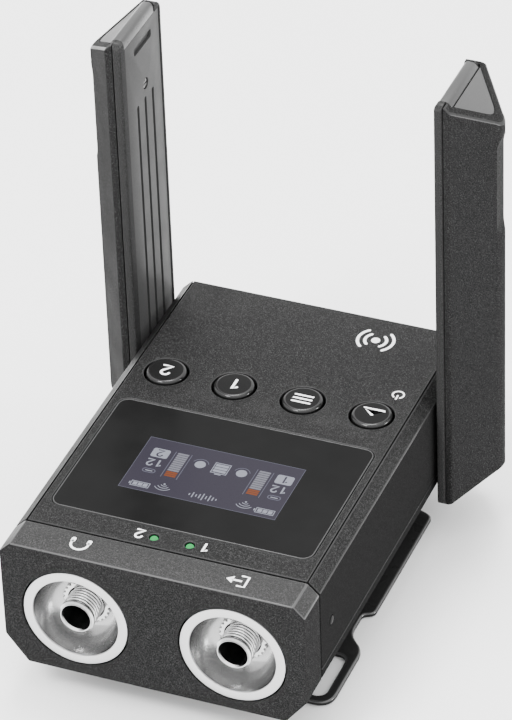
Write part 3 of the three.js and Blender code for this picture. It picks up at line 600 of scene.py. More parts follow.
def build_shells():
    x = HALF_WIDTH
    seam_edge, end_edge, top_edge, chamfer_edge = 0.22, 0.18, 0.35, 0.4
    upper = slab([(-x, SEAM), (x, SEAM)] + upper_corners(), FRONT_LOW.y, LENGTH,
                 [seam_edge] * 2 + [top_edge] * 4, end_edge)
    tools = [
        block(-x + TOP_BEVEL, x - TOP_BEVEL, 0, LENGTH + 2, PANEL_LOW.z - GAP, THICK + 2),
        block(-x + WALL, x - WALL, 0, LENGTH - WALL, 0, PANEL_LOW.z - GAP - 1.5),
        block(SCREEN_LOW.x - 1.5, SCREEN_HIGH.x + 1.5, SCREEN_LOW.y - 1.5, SCREEN_HIGH.y + 1.5,
              WELL_FLOOR, THICK),
        door_opening(),
    ]
    tools += [rod("z", BUTTON_WELL, WELL_FLOOR, THICK, middle(node)[:2]) for node in BUTTONS]
    for side, s in SIDES:
        tools.append(side_hole(HUB_HOLE, s, (PIVOT_Y, PIVOT_Z)))
        tools.append(side_hole(PIN_HOLE, s, middle(f"side_pin_{side}")[1:], 32))
    # Painted light and shade: shaded coat on the sides, lit coat on the faces that look up.
    piece("front_housing_shell", carve(upper, *tools), "root", SHADED_SIDE_COAT,
          ["front_housing"], edge=EDGE_HIGHLIGHT, top=COAT)

    lower = slab(lower_corners() + [(x, SEAM - GAP), (-x, SEAM - GAP)], REAR_LOW.y, LENGTH,
                 [chamfer_edge] * 4 + [seam_edge] * 2, end_edge)
    tools = [block(3.5 - x, x - 3.5, 0, LENGTH - WALL, WALL, 20), door_opening()]
    tools += [rod("z", 2.3, -1, 1.5, spot, 32) for spot in HOUSING_SCREWS]
    piece("rear_housing_shell", carve(lower, *tools), "root", SHADED_SIDE_COAT,
          ["rear_housing"], edge=EDGE_HIGHLIGHT)

    cap = slab(lower_corners() + upper_corners(), 0, CAP_LENGTH - SEAM_EXTRA, 0.3, 0.26)
    tools = [block(-x + WALL, x - WALL, WALL + 6, CAP_LENGTH + 2, WALL, THICK - WALL)]
    tools += [rod("y", SOCKET_HOLE, -1, CAP_LENGTH + 1, (s * JACK_X, JACK_Z), 96)
              for _, s in SIDES]
    # Painted light: lit copy of the coat on the cap's top faces, painted highlight on its upper
    # edges.
    piece("end_cap_shell", carve(cap, *tools), "root", CAP_COAT, ["end_cap"],
          edge=CAP_EDGE_HIGHLIGHT, top=CAP_LIT_TOP)


def glass_outline(grow=0):
    return rounded_rect(GLASS_LOW.x - grow, GLASS_HIGH.x + grow, GLASS_LOW.y - grow,
                        GLASS_HIGH.y + grow, 2.5 + grow)


def build_front_panel():
    outline = rect(PANEL_LOW.x, PANEL_HIGH.x, PANEL_LOW.y, PANEL_HIGH.y)
    holes = [glass_outline(0.2)]
    holes += [circle(*middle(node)[:2], BUTTON_HOLE) for node in BUTTONS]
    holes += [circle(s * LAMP_X, LAMP_Y, LAMP_HOLE, 32) for _, s in SIDES]
    mesh = plate([outline] + holes, PANEL_LOW.z, PANEL_HIGH.z, 0.22, 3)
    piece("front_panel_plate", mesh, "root", COAT, ["front_panel"], edge=EDGE_HIGHLIGHT)


def build_window():
    """Glass with a dark print around the lit picture laminated into it."""
    outline = glass_outline()
    view = rect(-17.9, 17.5, 25.5, 43.6)
    # Lighter rim strip around the glass: painted highlight on its edge.
    rim = plate([outline, inset(outline, 0.3)], GLASS_LOW.z, GLASS_HIGH.z, 0.12, 3)
    piece("window_rim_highlight", rim, "root", WINDOW_RIM_HIGHLIGHT)
    printed = plate([inset(outline, 0.28), view], GLASS_LOW.z, PICTURE_LEVEL, 0)
    piece("window_print", printed, "root", PRINTED_GLASS, ["window_glass"])
    picture = plate([inset(view, SLIVER)], GLASS_LOW.z, PICTURE_LEVEL, 0)
    piece("window_picture", picture, "root", SCREEN)
    low, high = box_mm("window_gasket")
    gasket = plate([inset(outline, 0.4), inset(view, -1.2)], low.z, high.z, 0.02, 1)
    piece("window_seal", gasket, "root", BLACK, ["window_gasket"])


# ---- buttons, lamps ----
def build_buttons():
    bulge = 0.75
    for node in BUTTONS:
        low, high = box_mm(node)
        x, y, _ = middle(node)
        r, top = high.x - x - 0.15, high.z
        profile = [(0, low.z), (r - 0.2, low.z), (r, low.z + 0.2)]
        profile += arc(r - bulge, top - bulge, bulge, 0, 80, 7)
        profile += [(r - bulge, top), (0, top - 0.05)]
        turn = shift(x, y) @ UPRIGHT_X
        # The rounded rim gets a lighter, glossier strip: painted rim highlight.
        piece(f"{node}_cap", moved(lathe(profile, 72), turn), node, BUTTON,
              [node], 50, BUTTON_RIM_HIGHLIGHT)


def build_lamps():
    top, radius = THICK, 0.85
    dome = arc(0, top - 1.0, 1.0, 30, 88, 6)[1:-1]
    profile = ([(0, top - 2.8), (radius, top - 2.8), (radius, top - 0.5)] + dome
               + [(0, top - 0.02)])
    for side, s in SIDES:
        turn = shift(s * LAMP_X, LAMP_Y) @ UPRIGHT_X
        piece(f"lamp_{side}_lens", moved(lathe(profile, 32), turn), "root", LAMP,
              [f"lamp_{side}"], 50)


# ---- sockets ----
THREAD_PITCH, THREAD_DEPTH = 0.8, 0.42


def threaded_collar(r, bore, y0, y1):
    """Tube along y with a helical thread outside and a chamfered mouth."""
    around, per_turn = 72, 8
    thread_start, thread_end = y0 + 0.45, y1 - 2.2
    length = thread_end - thread_start
    rows = int(length / THREAD_PITCH * per_turn)
    heights = [(bore, y1, 0), (bore, y0 + 0.5, 0), (bore + 0.22, y0 + 0.05, 0),
               (bore + 0.32, y0, 0), (r - 0.45, y0, 0), (r - THREAD_DEPTH, y0 + 0.12, 0)]
    for k in range(rows + 1):
        fade = min(1, k / per_turn, (rows - k) / per_turn)
        heights.append((r, thread_start + length * k / rows, fade))
    heights += [(r, y1 - 2.1, 0), (r, y1, 0)]
    bm = bmesh.new()
    rings = []
    for radius, y, depth in heights:
        ring = []
        for i in range(around):
            phase = ((y - y0) / THREAD_PITCH - i / around) % 1
            groove = THREAD_DEPTH * (1 - abs(2 * phase - 1)) if depth else 0
            here = radius - groove * depth
            a = 2 * math.pi * i / around
            ring.append(bm.verts.new((here * math.cos(a), y, here * math.sin(a))))
        rings.append(ring)
    bridge(bm, rings + rings[:1])
    return to_mesh(bm)


def toothed_washer(y0, y1):
    teeth, tip, root, hole = 26, 5.35, 4.9, 4.15
    loop = []
    for i in range(teeth * 4):
        r = tip if i % 4 in (0, 1) else root
        a = 2 * math.pi * i / (teeth * 4)
        loop.append((r * math.cos(a), r * math.sin(a)))
    return moved(plate([loop, circle(0, 0, hole)], y0, y1, 0.08, 1), UPRIGHT_X)


def build_sockets():
    outer, dish, foot, depth = RING_HIGH.x - JACK_X - 0.22, 9.6, 5.4, 6.6
    bore, back = 3.1, RING_HIGH.y
    front = RING_LOW.y
    face = lathe([(outer, front + 3), (outer, front + 0.35), (outer - 0.1, front + 0.1),
                  (outer - 0.35, front), (dish + 0.25, front), (dish + 0.1, front + 0.05),
                  (dish + 0.02, front + 0.25), (dish + 0.02, front + 3)], 128, True)
    bowl = [(foot + (dish - foot) * math.cos(a), front + 0.3 + depth * math.sin(a))
            for a in (math.pi / 2 * i / 24 for i in range(25))]
    cup = lathe(bowl + [(4.3, front + 0.3 + depth), (4.3, back), (outer - 1, back),
                        (outer - 1, front + 3.1), (dish, front + 3.1)], 128, True)
    for side, s in SIDES:
        place = shift(s * JACK_X, 0, JACK_Z)
        ring, collar, washer = [f"jack_{part}_{side}" for part in ("ring", "collar", "washer")]
        piece(f"{ring}_face", moved(face, place), "root", SILVER, [ring])
        # The dish's darker metal is painted shade in the recess.
        piece(f"{ring}_dish", moved(cup, place), "root", SHADED_DISH_METAL)
        low, high = box_mm(collar)
        radius = (high.x - low.x) / 2
        piece(f"{collar}_thread", moved(threaded_collar(radius, bore, low.y, high.y), place),
              "root", NICKEL, [collar], 25)
        # Dark core that shows in the thread roots: painted shade.
        core = plate([circle(0, 0, radius - THREAD_DEPTH * 0.55), circle(0, 0, bore + 0.2)],
                     low.y + 0.4, high.y - 2.3, 0)
        piece(f"{collar}_root", moved(core, place @ UPRIGHT_X), "root", THREAD_ROOT_SHADE)
        low, high = box_mm(washer)
        piece(f"{washer}_teeth", moved(toothed_washer(low.y, high.y), place), "root",
              NICKEL, [washer])


# ---- antennas ----
# The section runs from the inner face (COVER_LOW.x) out to a ridge; ANT_SHOULDER and ANT_APEX
# are measured from that face. Both ends slope from COVER_OUT on.
ANT_FOOT, ANT_TOP = COVER_LOW.z, COVER_HIGH.z
COVER_OUT = COVER_HIGH.x
ANT_SHOULDER, ANT_APEX, ANT_RIDGE = 3.5, 12.6, 3.0
ANT_CORNER, ANT_TOP_CORNER = 1.6, 4.6
SLOPE_RUN = (COVER_LOW.x + ANT_APEX + 1 - COVER_OUT) / 1.08
TOP_SLOPE, FOOT_SLOPE = 9.5 / SLOPE_RUN, 6.8 / SLOPE_RUN
LIP, LIP_OUT = 2.4, 3.3
COVER_MID = PIVOT_Y + 0.9
PANEL_Y = (COVER_MID - 9.3, COVER_MID + 8.9)
LIP_Y = (COVER_MID - 9.6, COVER_MID + 6.6)
LID_GAP = 0.12
GRIP_Z, GRIP_DEPTH = (69.5, 95), 0.95
GROOVE_Z, SLOT_Z = (20, 86.5), (99.1, 101.1)
COVER_SCREW = (COVER_MID + 0.6, 89.5)


def top_level(x):
    return ANT_TOP - TOP_SLOPE * max(0, x - COVER_OUT)


def foot_level(x):
    return ANT_FOOT + FOOT_SLOPE * max(0, x - COVER_OUT)


def antenna_outline(start):
    """House-shaped section in x, y from x = start outward, for the +x antenna."""
    half = (SHELL_HIGH.y - SHELL_LOW.y) / 2
    mid = (SHELL_HIGH.y + SHELL_LOW.y) / 2
    side_x, apex, r = COVER_LOW.x + ANT_SHOULDER, COVER_LOW.x + ANT_APEX, 0.4
    slope = math.atan2(apex - side_x, half)
    turn = 90 - math.degrees(slope)
    ridge = arc(apex - ANT_RIDGE / math.cos(slope), mid, ANT_RIDGE, -turn, turn, 14)
    near, far = (start, mid - half + 0.3), (start, mid + half - 0.3)
    return ([near] + soft_corner(near, (side_x, mid - half), ridge[0], r) + ridge
            + soft_corner(ridge[-1], (side_x, mid + half), far, r) + [far])


def slanted_prism(outline, z_low, z_high, edge=0.5, steps=4):
    """Outline in x, y between two levels that depend on x, with rounded end edges."""
    bm = bmesh.new()
    rows = [(d, h, z_low, 1) for d, h in quarter(edge, steps)]
    rows += [(d, h, z_high, -1) for d, h, _, _ in reversed(rows)]
    rings = []
    loop = outline if area(outline) > 0 else outline[::-1]
    for distance, lift, level, sign in rows:
        flat = inset(loop, distance) if distance else loop
        rings.append([bm.verts.new((x, y, level(x) + sign * lift)) for x, y in flat])
    bridge(bm, rings)
    bm.faces.new(rings[0])
    bm.faces.new(rings[-1])
    return to_mesh(bm)


def triangle_outline(gap):
    """Pocket in the antenna's top, or with a gap the lid that lies in it."""
    low = LIP_OUT + 0.2 if gap else 3.0
    reach = 8.5 + (LIP_OUT - low) * 1.2 - gap
    x = COVER_LOW.x + low
    near, far = (x, PIVOT_Y - reach), (x, PIVOT_Y + reach)
    tip = (COVER_LOW.x + 10.2 - gap, PIVOT_Y)
    return [near] + soft_corner(near, tip, far, 2.4, 8) + [far]


def finger_grip():
    """Cutter that flattens part of the ridge, with sloped, rounded ends."""
    (z0, z1), run = GRIP_Z, 2.2
    face = SHELL_HIGH.x - GRIP_DEPTH
    outline = [(face + 3, z0 - 1.2), (SHELL_HIGH.x + 0.3, z0 - 0.6), (face, z0 + run),
               (face, z1 - run), (SHELL_HIGH.x + 0.3, z1 + 0.6), (face + 3, z1 + 1.2)]
    loop = rounded_corners(outline, 2.0, 6)
    return moved(plate([loop], PIVOT_Y - 12, PIVOT_Y + 12, 0), UPRIGHT_X)


def build_antenna_shell():
    """Outer shell and the lid in its top."""
    wall, pocket_depth = 1.6, 0.6
    outer = slanted_prism(antenna_outline(COVER_OUT + GAP * 0.6), foot_level, top_level)
    pocket = slanted_prism(triangle_outline(0), lambda x: top_level(x) - pocket_depth,
                           lambda x: top_level(x) + 3, 0)
    cavity = slanted_prism(inset(antenna_outline(COVER_OUT), wall),
                           lambda x: foot_level(x) + wall, lambda x: top_level(x) - wall, 0)
    open_side = block(COVER_OUT - 1, COVER_OUT + 2, PIVOT_Y - 9.4, PIVOT_Y + 9.4, ANT_FOOT + 2,
                      ANT_TOP - 2)
    lip_room = block(COVER_OUT - 1, COVER_LOW.x + LIP_OUT + 0.15, LIP_Y[0] - 0.2,
                     LIP_Y[1] + 0.2, ANT_TOP - LIP - 0.2, ANT_TOP + 1)
    shell = carve(outer, finger_grip(), pocket, cavity, open_side, lip_room)
    lid = slanted_prism(triangle_outline(LID_GAP), lambda x: top_level(x) - 0.55,
                        lambda x: top_level(x) - LID_GAP, 0.1, 2)
    return carve(shell, end_corners(), operation="INTERSECT"), lid


def end_corners():
    """Block as long and wide as an antenna, its corners rounded in the y, z plane."""
    y0, y1 = SHELL_LOW.y - 0.01, SHELL_HIGH.y + 0.01
    z0, z1 = ANT_FOOT - 0.01, ANT_TOP + 0.01
    r, top = ANT_CORNER, ANT_TOP_CORNER
    loop = (arc(y1 - r, z0 + r, r, -90, 0, 8) + arc(y1 - top, z1 - top, top, 0, 90, 12)
            + arc(y0 + r, z1 - r, r, 90, 180, 8) + arc(y0 + r, z0 + r, r, 180, 270, 8))
    return moved(plate([loop], COVER_LOW.x - 1, SHELL_HIGH.x + 1, 0), UPRIGHT_Y)


def build_antenna_cover():
    """Inner cover as a frame, with a smooth panel let into it and a rounded lip at its top."""
    x0, x1 = COVER_LOW.x, COVER_HIGH.x
    foot, shoulder = ANT_FOOT + 2.4, ANT_TOP - LIP
    gap, sunk = 0.2, 0.12
    side = (soft_corner((x0, ANT_FOOT + 5), (x0, ANT_FOOT), (x1, ANT_FOOT), 1.3, 6)
            + [(x1, ANT_FOOT), (x1, ANT_TOP)]
            + soft_corner((x1, ANT_TOP), (x0, ANT_TOP), (x0, ANT_TOP - 5), 1.85, 8))
    body = moved(plate([side], COVER_LOW.y, COVER_HIGH.y, 0.55, 4), UPRIGHT_X)
    hub = rod("x", HUB_HOLE, x0 - 1, x1 + 1, (PIVOT_Y, PIVOT_Z))

    def sheet(y0, y1, z0, z1, radius, face, back, edge=0.0):
        return moved(plate([rounded_rect(y0, y1, z0, z1, radius)], x0 + face, x0 + back, edge),
                     UPRIGHT_Y)

    near, far = PANEL_Y
    panel_room = sheet(near - gap, far + gap, foot - gap, shoulder, 0.2, -1, 1.05 + gap / 2)
    lip_room = block(x0 - 1, x1 + 1, LIP_Y[0] - gap, LIP_Y[1] + gap, shoulder - gap, ANT_TOP + 1)
    body = carve(body, end_corners(), operation="INTERSECT")
    body = carve(body, panel_room, lip_room, hub)

    tools = [sheet(COVER_MID + dy - 0.55, COVER_MID + dy + 0.55, *GROOVE_Z, 0.5, -1, 0.62)
             for dy in (-4, 0, 4)]
    tools.append(sheet(COVER_MID - 4.6, COVER_MID + 4.6, *SLOT_Z, 0.7, -1, 0.85))
    tools.append(rod("x", 1.35, x0 - 1, x0 + 0.9, COVER_SCREW, 32))
    panel = carve(sheet(near, far, foot, shoulder, 0.2, sunk, 1.05, 0.08), *tools, hub)

    face, out, top = x0 + sunk, x0 + LIP_OUT, ANT_TOP - 0.1
    lip = (soft_corner((face, top - 5), (face, top), (x0 + 2.3, top), 2.0, 10)
           + soft_corner((x0 + 1.6, top), (x0 + 2.6, top - 0.2), (out, top_level(out)), 0.6)
           + [(out, top_level(out)), (out, shoulder + 0.06), (face, shoulder + 0.06)])
    lip = moved(plate([lip], *LIP_Y, 0.15, 3), UPRIGHT_X)
    return body, panel, carve(lip, end_corners(), operation="INTERSECT")


def build_cover_screw():
    x, (y, z) = COVER_LOW.x, COVER_SCREW
    head = rod("x", 1.1, x + 0.3, x + 0.95, COVER_SCREW, 32, 0.2)
    return carve(head, *[block(x, x + 0.6, y - a, y + a, z - b, z + b)
                         for a, b in ((0.9, 0.15), (0.15, 0.9))])


def build_antennas():
    shell, lid = build_antenna_shell()
    cover, panel, lip = build_antenna_cover()
    screw = build_cover_screw()
    for side, s in SIDES:
        turn = Matrix.Scale(s, 4, (1, 0, 0))
        body = f"antenna_{side}"
        # The cover frame's lighter coat is painted light; shell and frame also get the painted
        # edge highlight.
        for name, mesh, slot, material, node, edge in (
                ("outer", shell, "antenna_coat", ANTENNA_COAT, "shell", EDGE_HIGHLIGHT),
                ("lid", lid, "satin", INSET_SATIN, "inset", None),
                ("frame", cover, "antenna_coat", LIT_COVER_COAT, "cover", EDGE_HIGHLIGHT),
                ("panel", panel, "satin", SATIN, None, None),
                ("lip", lip, "satin", LIP_SATIN, None, None),
                ("screw_head", screw, "steel", DARK_STEEL, "screw", None)):
            piece(f"{body}_{name}", moved(mesh, turn), body, material,
                  [f"antenna_{node}_{side}"] if node else [], edge=edge)


# ---- belt clip ----
# From the loop at the jack end: shoulder, narrow neck, wings with a rib along each.
CLIP_SHEET = 1.2
SHOULDER_Y, NECK_X = 34.2, 28.9
WING_X, WING_Y = 31.3, 45.4
LOOP_BAR, LOOP_OPEN_Y = 2.3, 31.2
RIB_X = 27.0


def clip_outline():
    loop_x, end = ARM_HIGH.x, ARM_HIGH.y
    right = [(loop_x, ARM_LOW.y), (loop_x, SHOULDER_Y), (NECK_X, SHOULDER_Y + 4),
             (NECK_X, WING_Y), (WING_X, WING_Y + 1), (WING_X, end - 1.5), (WING_X - 3, end)]
    left = [(-x, y) for x, y in reversed(right)]
    turns = [4.0, 3.0, 2.6, 1.6, 2.6, 1.6, 2.6]
    return rounded_corners(right + left, turns + turns[::-1], 7)


def helix(start, stop, turns, place):
    """Points of a coil; place turns an angle, a level and a share of the way into one."""
    steps = 20
    count = turns * steps
    return [place(2 * math.pi * i / steps, start + (stop - start) * i / count, i / count)
            for i in range(count + 1)]


def build_clip():
    window = rounded_rect(LOOP_BAR - ARM_HIGH.x, ARM_HIGH.x - LOOP_BAR, ARM_LOW.y + LOOP_BAR,
                          LOOP_OPEN_Y, 2.0)
    arm_plate = plate([clip_outline(), window], ARM_LOW.z, ARM_LOW.z + CLIP_SHEET, 0.5, 4)
    ribs = [rod("y", 0.75, WING_Y + 0.8, ARM_HIGH.y - 3, (s * RIB_X, ARM_LOW.z + 1.1), 24, 0.4)
            for _, s in SIDES]
    near_ears = block(-15, 15, 60, 80, ARM_LOW.z + 1.0, 5)
    ears = carve(cad_mesh("clip_arm"), near_ears, operation="INTERSECT")
    # Narrow edge strips of the clip get a lighter material: painted highlight.
    piece("clip_arm_plate", joined(arm_plate, ears, *ribs), "clip_arm", CLIP_BLACK,
          ["clip_arm"], edge=CLIP_EDGE_HIGHLIGHT)
    piece("clip_bracket_plate", rounded(cad_mesh("clip_bracket"), 0.2), "root",
          CLIP_BLACK, ["clip_bracket"])
    low, high = box_mm("clip_pin")
    y, z = middle("clip_pin")[1:]
    pin = rod("x", 0.96, low.x, high.x, (y, z), 32, 0.2)
    piece("clip_pin_rod", pin, "root", STEEL, ["clip_pin"])
    low, high = box_mm("clip_spring")
    wire, r = 0.33, 1.55
    coil = helix(low.x + wire, high.x - wire, 18,
                 lambda a, x, _: (x, y + r * math.cos(a), z + r * math.sin(a)))
    piece("clip_spring_coil", tube(coil, wire), "root", STEEL, ["clip_spring"])


# ---- small pieces and the inside ----
def build_screws(name, spots, face, sunk, reach):
    """Cross-head screws; face and reach are the levels of the head and the shaft's end."""
    for i, (x, y) in enumerate(spots, 1):
        head = rod("z", 2.0, face, face + sunk[0], (x, y), 32, 0.2)
        cross = [block(x - a, x + a, y - b, y + b, face - 1, face + sunk[1])
                 for a, b in ((1.2, 0.2), (0.2, 1.2))]
        shaft = rod("z", 1.1, face + sunk[0] - 0.1, reach, (x, y), 20)
        piece(f"{name}_{i}", joined(carve(head, *cross), shaft), "root", STEEL)


def build_fasteners():
    for side, _ in SIDES:
        node = f"side_pin_{side}"
        low, high = box_mm(node)
        pin = rod("x", 1.0, low.x, high.x, middle(node)[1:], 32, 0.3)
        piece(f"{node}_head", pin, "root", PIN_BLACK, [node])
    build_screws("housing_screw", HOUSING_SCREWS, 0.3, (1.1, 0.6), 12.5)
    build_screws("bracket_screw", BRACKET_SCREWS, -2.3, (0.7, 0.35), 2.2)


def build_battery_door():
    leaf = rounded(cad_mesh("battery_door"), 0.25)
    piece("battery_door_leaf", leaf, "battery_door", SHADED_SIDE_COAT, ["battery_door"])


def build_inside():
    glow = block(-17.5, 17.5, 26.1, 43.5, SCREEN_HIGH.z - SLIVER, SCREEN_HIGH.z + SLIVER)
    piece("screen_glow", glow, "root", SCREEN)
    for side, _ in SIDES:
        cell, spring = f"cell_{side}", f"contact_spring_{side}"
        low, high = box_mm(cell)
        x, _, z = middle(cell)
        r = (high.x - low.x) / 2
        profile = [(0, low.y), (r - 1.2, low.y), (r - 0.4, low.y + 0.15), (r, low.y + 0.7),
                   (r, high.y - 2.2), (r - 0.35, high.y - 1.6), (r - 1.1, high.y - 1.3),
                   (2.8, high.y - 1.2), (2.7, high.y - 0.25), (2.4, high.y), (0, high.y)]
        piece(f"{cell}_can", moved(lathe(profile, 48), shift(x, 0, z)), "root",
              CELL, [cell])
        low, high = box_mm(spring)
        coil = helix(low.y + 0.35, high.y - 0.35, 4,
                     lambda a, y, t: (x + (3.8 - 2.2 * t) * math.cos(a), y,
                                      z + (3.8 - 2.2 * t) * math.sin(a)))
        piece(f"{spring}_coil", tube(coil, 0.3), "root", STEEL, [spring])
    carried = {
        "screen_module": BLACK, "screen_frame": BLACK, "cell_tray": BLACK, "main_board": BOARD,
        "radio_shield": STEEL, "battery_door_pin": STEEL, "battery_door_contact": STEEL,
    }
    carried.update({f"tact_switch_{number}": STEEL for number in range(1, 5)})
    for side, _ in SIDES:
        carried.update({f"jack_socket_{side}": BLACK, f"coax_lead_{side}": BLACK,
                        f"antenna_element_{side}": COPPER, f"antenna_hub_{side}": BLACK,
                        f"antenna_hub_ring_{side}": STEEL, f"antenna_hub_washer_{side}": STEEL})
    for node, material in carried.items():
        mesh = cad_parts[node].data
        mesh.materials.clear()
        mesh.materials.append(material)


# ---- printed marks ----
# Marks are drawn in a, b: a runs to -x and b to -y, because they are read from the far end.
def ribbon(points, width):
    """Outline of a line of the given width through points, with round ends."""
    path = [Vector(p) for p in points]
    left, right = [], []
    for i, point in enumerate(path):
        ahead = (path[min(i + 1, len(path) - 1)] - path[max(i - 1, 0)]).normalized()
        side = Vector((-ahead.y, ahead.x)) * width / 2
        left.append(tuple(point + side))
        right.append(tuple(point - side))

    def end(centre, start):
        angle = math.degrees(math.atan2(start[1] - centre.y, start[0] - centre.x))
        return arc(centre.x, centre.y, width / 2, angle, angle - 180, 6)[1:-1]

    return left + end(path[-1], left[-1]) + right[::-1] + end(path[0], right[0])


def print_marks(name, shapes, centre, level, body, material, size=1.0):
    """shapes: lists of loops in a, b, each list being one outline with its holes."""
    thick = 0.03
    meshes = [plate([[(centre[0] - a * size, centre[1] - b * size) for a, b in loop]
                     for loop in loops], level, level + thick, 0) for loops in shapes]
    piece(name, joined(*meshes), body, material)


def ring_arc(a, b, r, start, stop, width):
    return [ribbon(arc(a, b, r, start, stop, 16), width)]


def digit_one(a=0, b=0, h=1.0):
    return [[ribbon([(a - 0.28 * h, b + 0.26 * h), (a, b + 0.5 * h), (a, b - 0.5 * h)],
                    0.19 * h)]]


def digit_two(a=0, b=0, h=1.0):
    top = arc(a, b + 0.22 * h, 0.28 * h, 170, -40, 12)
    return [[ribbon(top + [(a - 0.3 * h, b - 0.5 * h), (a + 0.34 * h, b - 0.5 * h)], 0.18 * h)]]


def headphones():
    band = ribbon(arc(0, -0.2, 1.25, 200, -20, 20), 0.34)
    return [[band]] + [[rounded_rect(x - 0.32, x + 0.32, -1.35, -0.35, 0.25, 3)]
                       for x in (-1.2, 1.2)]


def output_arrow():
    return [[ribbon([(-0.4, 1.1), (-1.4, 1.1), (-1.4, -1.1), (-0.4, -1.1)], 0.32)],
            [rect(-0.7, 0.7, -0.17, 0.17)], [[(0.6, -0.75), (1.6, 0), (0.6, 0.75)]]]


def radio_waves():
    return [[circle(0, 0, 0.62, 24)]] + [ring_arc(0, 0, r, start, start + 100, 0.42)
                                         for r in (1.5, 2.5) for start in (-50, 130)]


def power_symbol():
    return [ring_arc(0, 0, 0.95, -235, 55, 0.3), [ribbon([(0, 0.25), (0, 1.25)], 0.3)]]


def build_marks():
    hook = [[ribbon([(-0.16, 0.44), (2.39, -1.55), (-2.44, -1.55)], 0.6)]]
    lines = [[rect(-2.2, 2.2, b - 0.25, b + 0.25)] for b in (-1.2, 0, 1.2)]
    for node, shapes, size in zip(BUTTONS, (digit_two(), digit_one(), lines, hook),
                                  (3.2, 3.2, 1.0, 1.0)):
        print_marks(f"{node}_mark", shapes, middle(node)[:2], box_mm(node)[1].z - 0.04, node,
                    WHITE, size)
    for name, shapes, centre, size in (
            ("power", power_symbol(), (26.6, 74.9), 1.3),
            ("lamp_left", digit_two(), (-LAMP_X - 3.2, LAMP_Y), 2.6),
            ("lamp_right", digit_one(), (LAMP_X + 3.2, LAMP_Y), 2.6),
            ("jack_left", headphones(), (-JACK_X, 4.4), 1.5),
            ("jack_right", output_arrow(), (JACK_X, 4.4), 1.5),
            ("far_end", radio_waves(), (15, 92), 1.6)):
        print_marks(f"{name}_mark", shapes, centre, THICK, "root", WHITE, size)


def battery(a, b, length, width, upright=False):
    """Battery sign with three bars, lying along a or standing along b."""
    def box(u0, u1, v):
        corners = ((u0, -v), (u1, -v), (u1, v), (u0, v))
        return [(a + q, b + p) if upright else (a + p, b + q) for p, q in corners]

    line, u, v = 0.18, length / 2, width / 2
    shapes = [[box(-u, u, v), box(line - u, u - line, v - line)],
              [box(u + 0.12, u + 0.4, width / 5)]]
    step = (length - 4 * line) / 3
    for i in range(3):
        start = -u + 2 * line + i * step + 0.08
        shapes.append([box(start, start + step - 0.2, v - 2 * line)])
    return shapes


def build_screen():
    """Generic pictograms: batteries, signal arcs, level meters, channel boxes."""
    white, pale, dim, orange = [], [], [], []
    for s, digit in ((1, digit_two), (-1, digit_one)):
        column, pill, arcs, meter, dot = [s * a for a in (14.1, 14.2, 9.2, 9.3, 4.7)]
        white += battery(column, 7.3, 4.2, 1.7)
        white += [ring_arc(arcs, 5.5, r, 40, 140, 0.16) for r in (0.8, 1.5, 2.2)]
        white.append([circle(arcs, 5.6, 0.24, 12)])
        dim.append([rounded_rect(pill - 1.5, pill + 1.5, 1.6, 3.0, 0.7, 4),
                    rounded_rect(pill - 1.3, pill + 1.3, 1.8, 2.8, 0.55, 4)])
        white.append([rect(pill - 0.8, pill + 0.8, 2.2, 2.45)])
        white += digit_one(column - 0.9, -0.5, 2.1) + digit_two(column + 0.9, -0.5, 2.1)
        white.append([rounded_rect(column - 1.9, column + 1.9, -5.5, -2.5, 0.5, 4),
                      digit(column, -4.0, 2.1)[0][0]])
        for shapes, count, b0, step, height in ((pale, 9, -5.4, 0.72, 0.54),
                                                (orange, 3, 1.15, 0.62, 0.48)):
            shapes += [[rect(meter - 1.25, meter + 1.25, b0 + k * step, b0 + k * step + height)]
                       for k in range(count)]
        dim += [[rect(meter + e - 0.08, meter + e + 0.08, -5.6, 3.4)] for e in (-1.8, 1.8)]
        white.append([circle(dot, -3.15, 1.2, 24)])
        dim.append(ring_arc(dot, -3.15, 1.8, 200, 340, 0.16))
    white += battery(0, -3.2, 3.6, 3.6, True)
    wave = [0.5, 1.1, 1.9, 1.0, 2.2, 1.4, 0.8, 1.7, 0.6]
    white += [[rect(-3 + i * 0.75 - 0.12, -3 + i * 0.75 + 0.12, 7.0 - h / 2, 7.0 + h / 2)]
              for i, h in enumerate(wave)]
    frame_line = [[rect(-17.1, 18.3, -8.8, 9.3), rect(-17.0, 18.2, -8.7, 9.2)]]
    for name, shapes, material in (
            ("white", white, SCREEN_WHITE), ("pale", pale, SCREEN_PALE),
            ("dim", dim, SCREEN_DIM), ("orange", orange, SCREEN_ORANGE),
            ("rim", frame_line, SCREEN_DIM)):
        print_marks(f"screen_{name}", shapes, (0.4, 34.8), PICTURE_LEVEL, "root",
                    material)


# ---- stage ----
FLOOR_GREY = 0.94
SKY = ((0.0, 0.6), (0.55, 0.5), (0.72, 0.72), (0.95, 1.0))
SKY_STRENGTH = 4.1


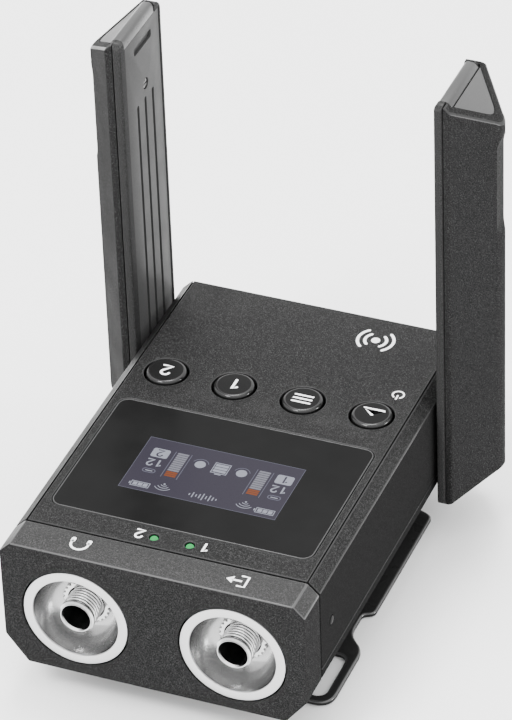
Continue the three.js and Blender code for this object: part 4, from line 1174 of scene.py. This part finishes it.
def build_stage():
    """Round pale floor, 4 m in radius and just under the object, and a grey studio sky."""
    floor = link("floor", plate([circle(0, 0, 4000)], 0, 2, 0))
    floor.data.transform(Matrix.Translation((0, 0, -0.0021)) @ Matrix.Scale(MM, 4))
    material, tree, bsdf = shader("floor", grey(FLOOR_GREY), 0.9)
    color = ramp(tree, noise(tree, 40.0),
                 [(0.3, grey(FLOOR_GREY * 0.985)), (0.7, grey(FLOOR_GREY))])
    tree.links.new(color, bsdf.inputs["Base Color"])
    floor.data.materials.append(material)
    world = bpy.data.worlds.new("studio")
    world.use_nodes = True
    tree = world.node_tree
    sky = ramp(tree, along(tree, "Generated", "Z"), [(z, grey(value)) for z, value in SKY])
    background = tree.nodes["Background"]
    tree.links.new(sky, background.inputs["Color"])
    background.inputs["Strength"].default_value = SKY_STRENGTH
    bpy.context.scene.world = world


def area_light(name, place, target, size, power):
    """Square light, in metres and watts."""
    data = bpy.data.lights.new(name, "AREA")
    data.shape = "RECTANGLE"
    data.size = data.size_y = size
    data.energy = power
    light = link(name, data)
    light.location = place
    aim = Vector(target) - Vector(place)
    light.rotation_mode = "QUATERNION"
    light.rotation_quaternion = aim.to_track_quat("-Z", "Y")


def build_lights():
    area_light("key", (-0.32, -0.6, 0.95), (0, 0, 0.03), 0.3, 13)
    area_light("top", (-0.1, 0.25, 1.1), (0, 0, 0.03), 0.35, 10)
    area_light("side", (0.95, 0.2, 0.16), (0, 0.03, 0.06), 0.2, 6)


# Fitted to the photo: metres, degrees, and millimetres of lens.
CAMERA_AT = (0.30962, -0.71878, 0.62822)
CAMERA_AZIMUTH, CAMERA_ELEVATION, CAMERA_ROLL = 23.0155, 36.0608, 2.222
CAMERA_LENS = 230.4


def build_camera():
    data = bpy.data.cameras.new("camera")
    data.lens = CAMERA_LENS
    data.sensor_width = 36
    data.clip_start, data.clip_end = 0.05, 50
    camera = link("camera", data)
    azimuth, elevation = math.radians(CAMERA_AZIMUTH), math.radians(CAMERA_ELEVATION)
    forward = Vector((-math.sin(azimuth) * math.cos(elevation),
                      math.cos(azimuth) * math.cos(elevation), -math.sin(elevation)))
    turn = forward.to_track_quat("-Z", "Y").to_matrix().to_4x4()
    roll = Matrix.Rotation(math.radians(-CAMERA_ROLL), 4, "Z")
    camera.matrix_world = Matrix.Translation(CAMERA_AT) @ turn @ roll
    bpy.context.scene.camera = camera


for build in (build_camera, build_stage, build_lights, build_shells, build_front_panel,
              build_window, build_buttons, build_lamps, build_sockets, build_antennas,
              build_clip, build_fasteners, build_battery_door, build_inside, build_marks,
              build_screen):
    build()
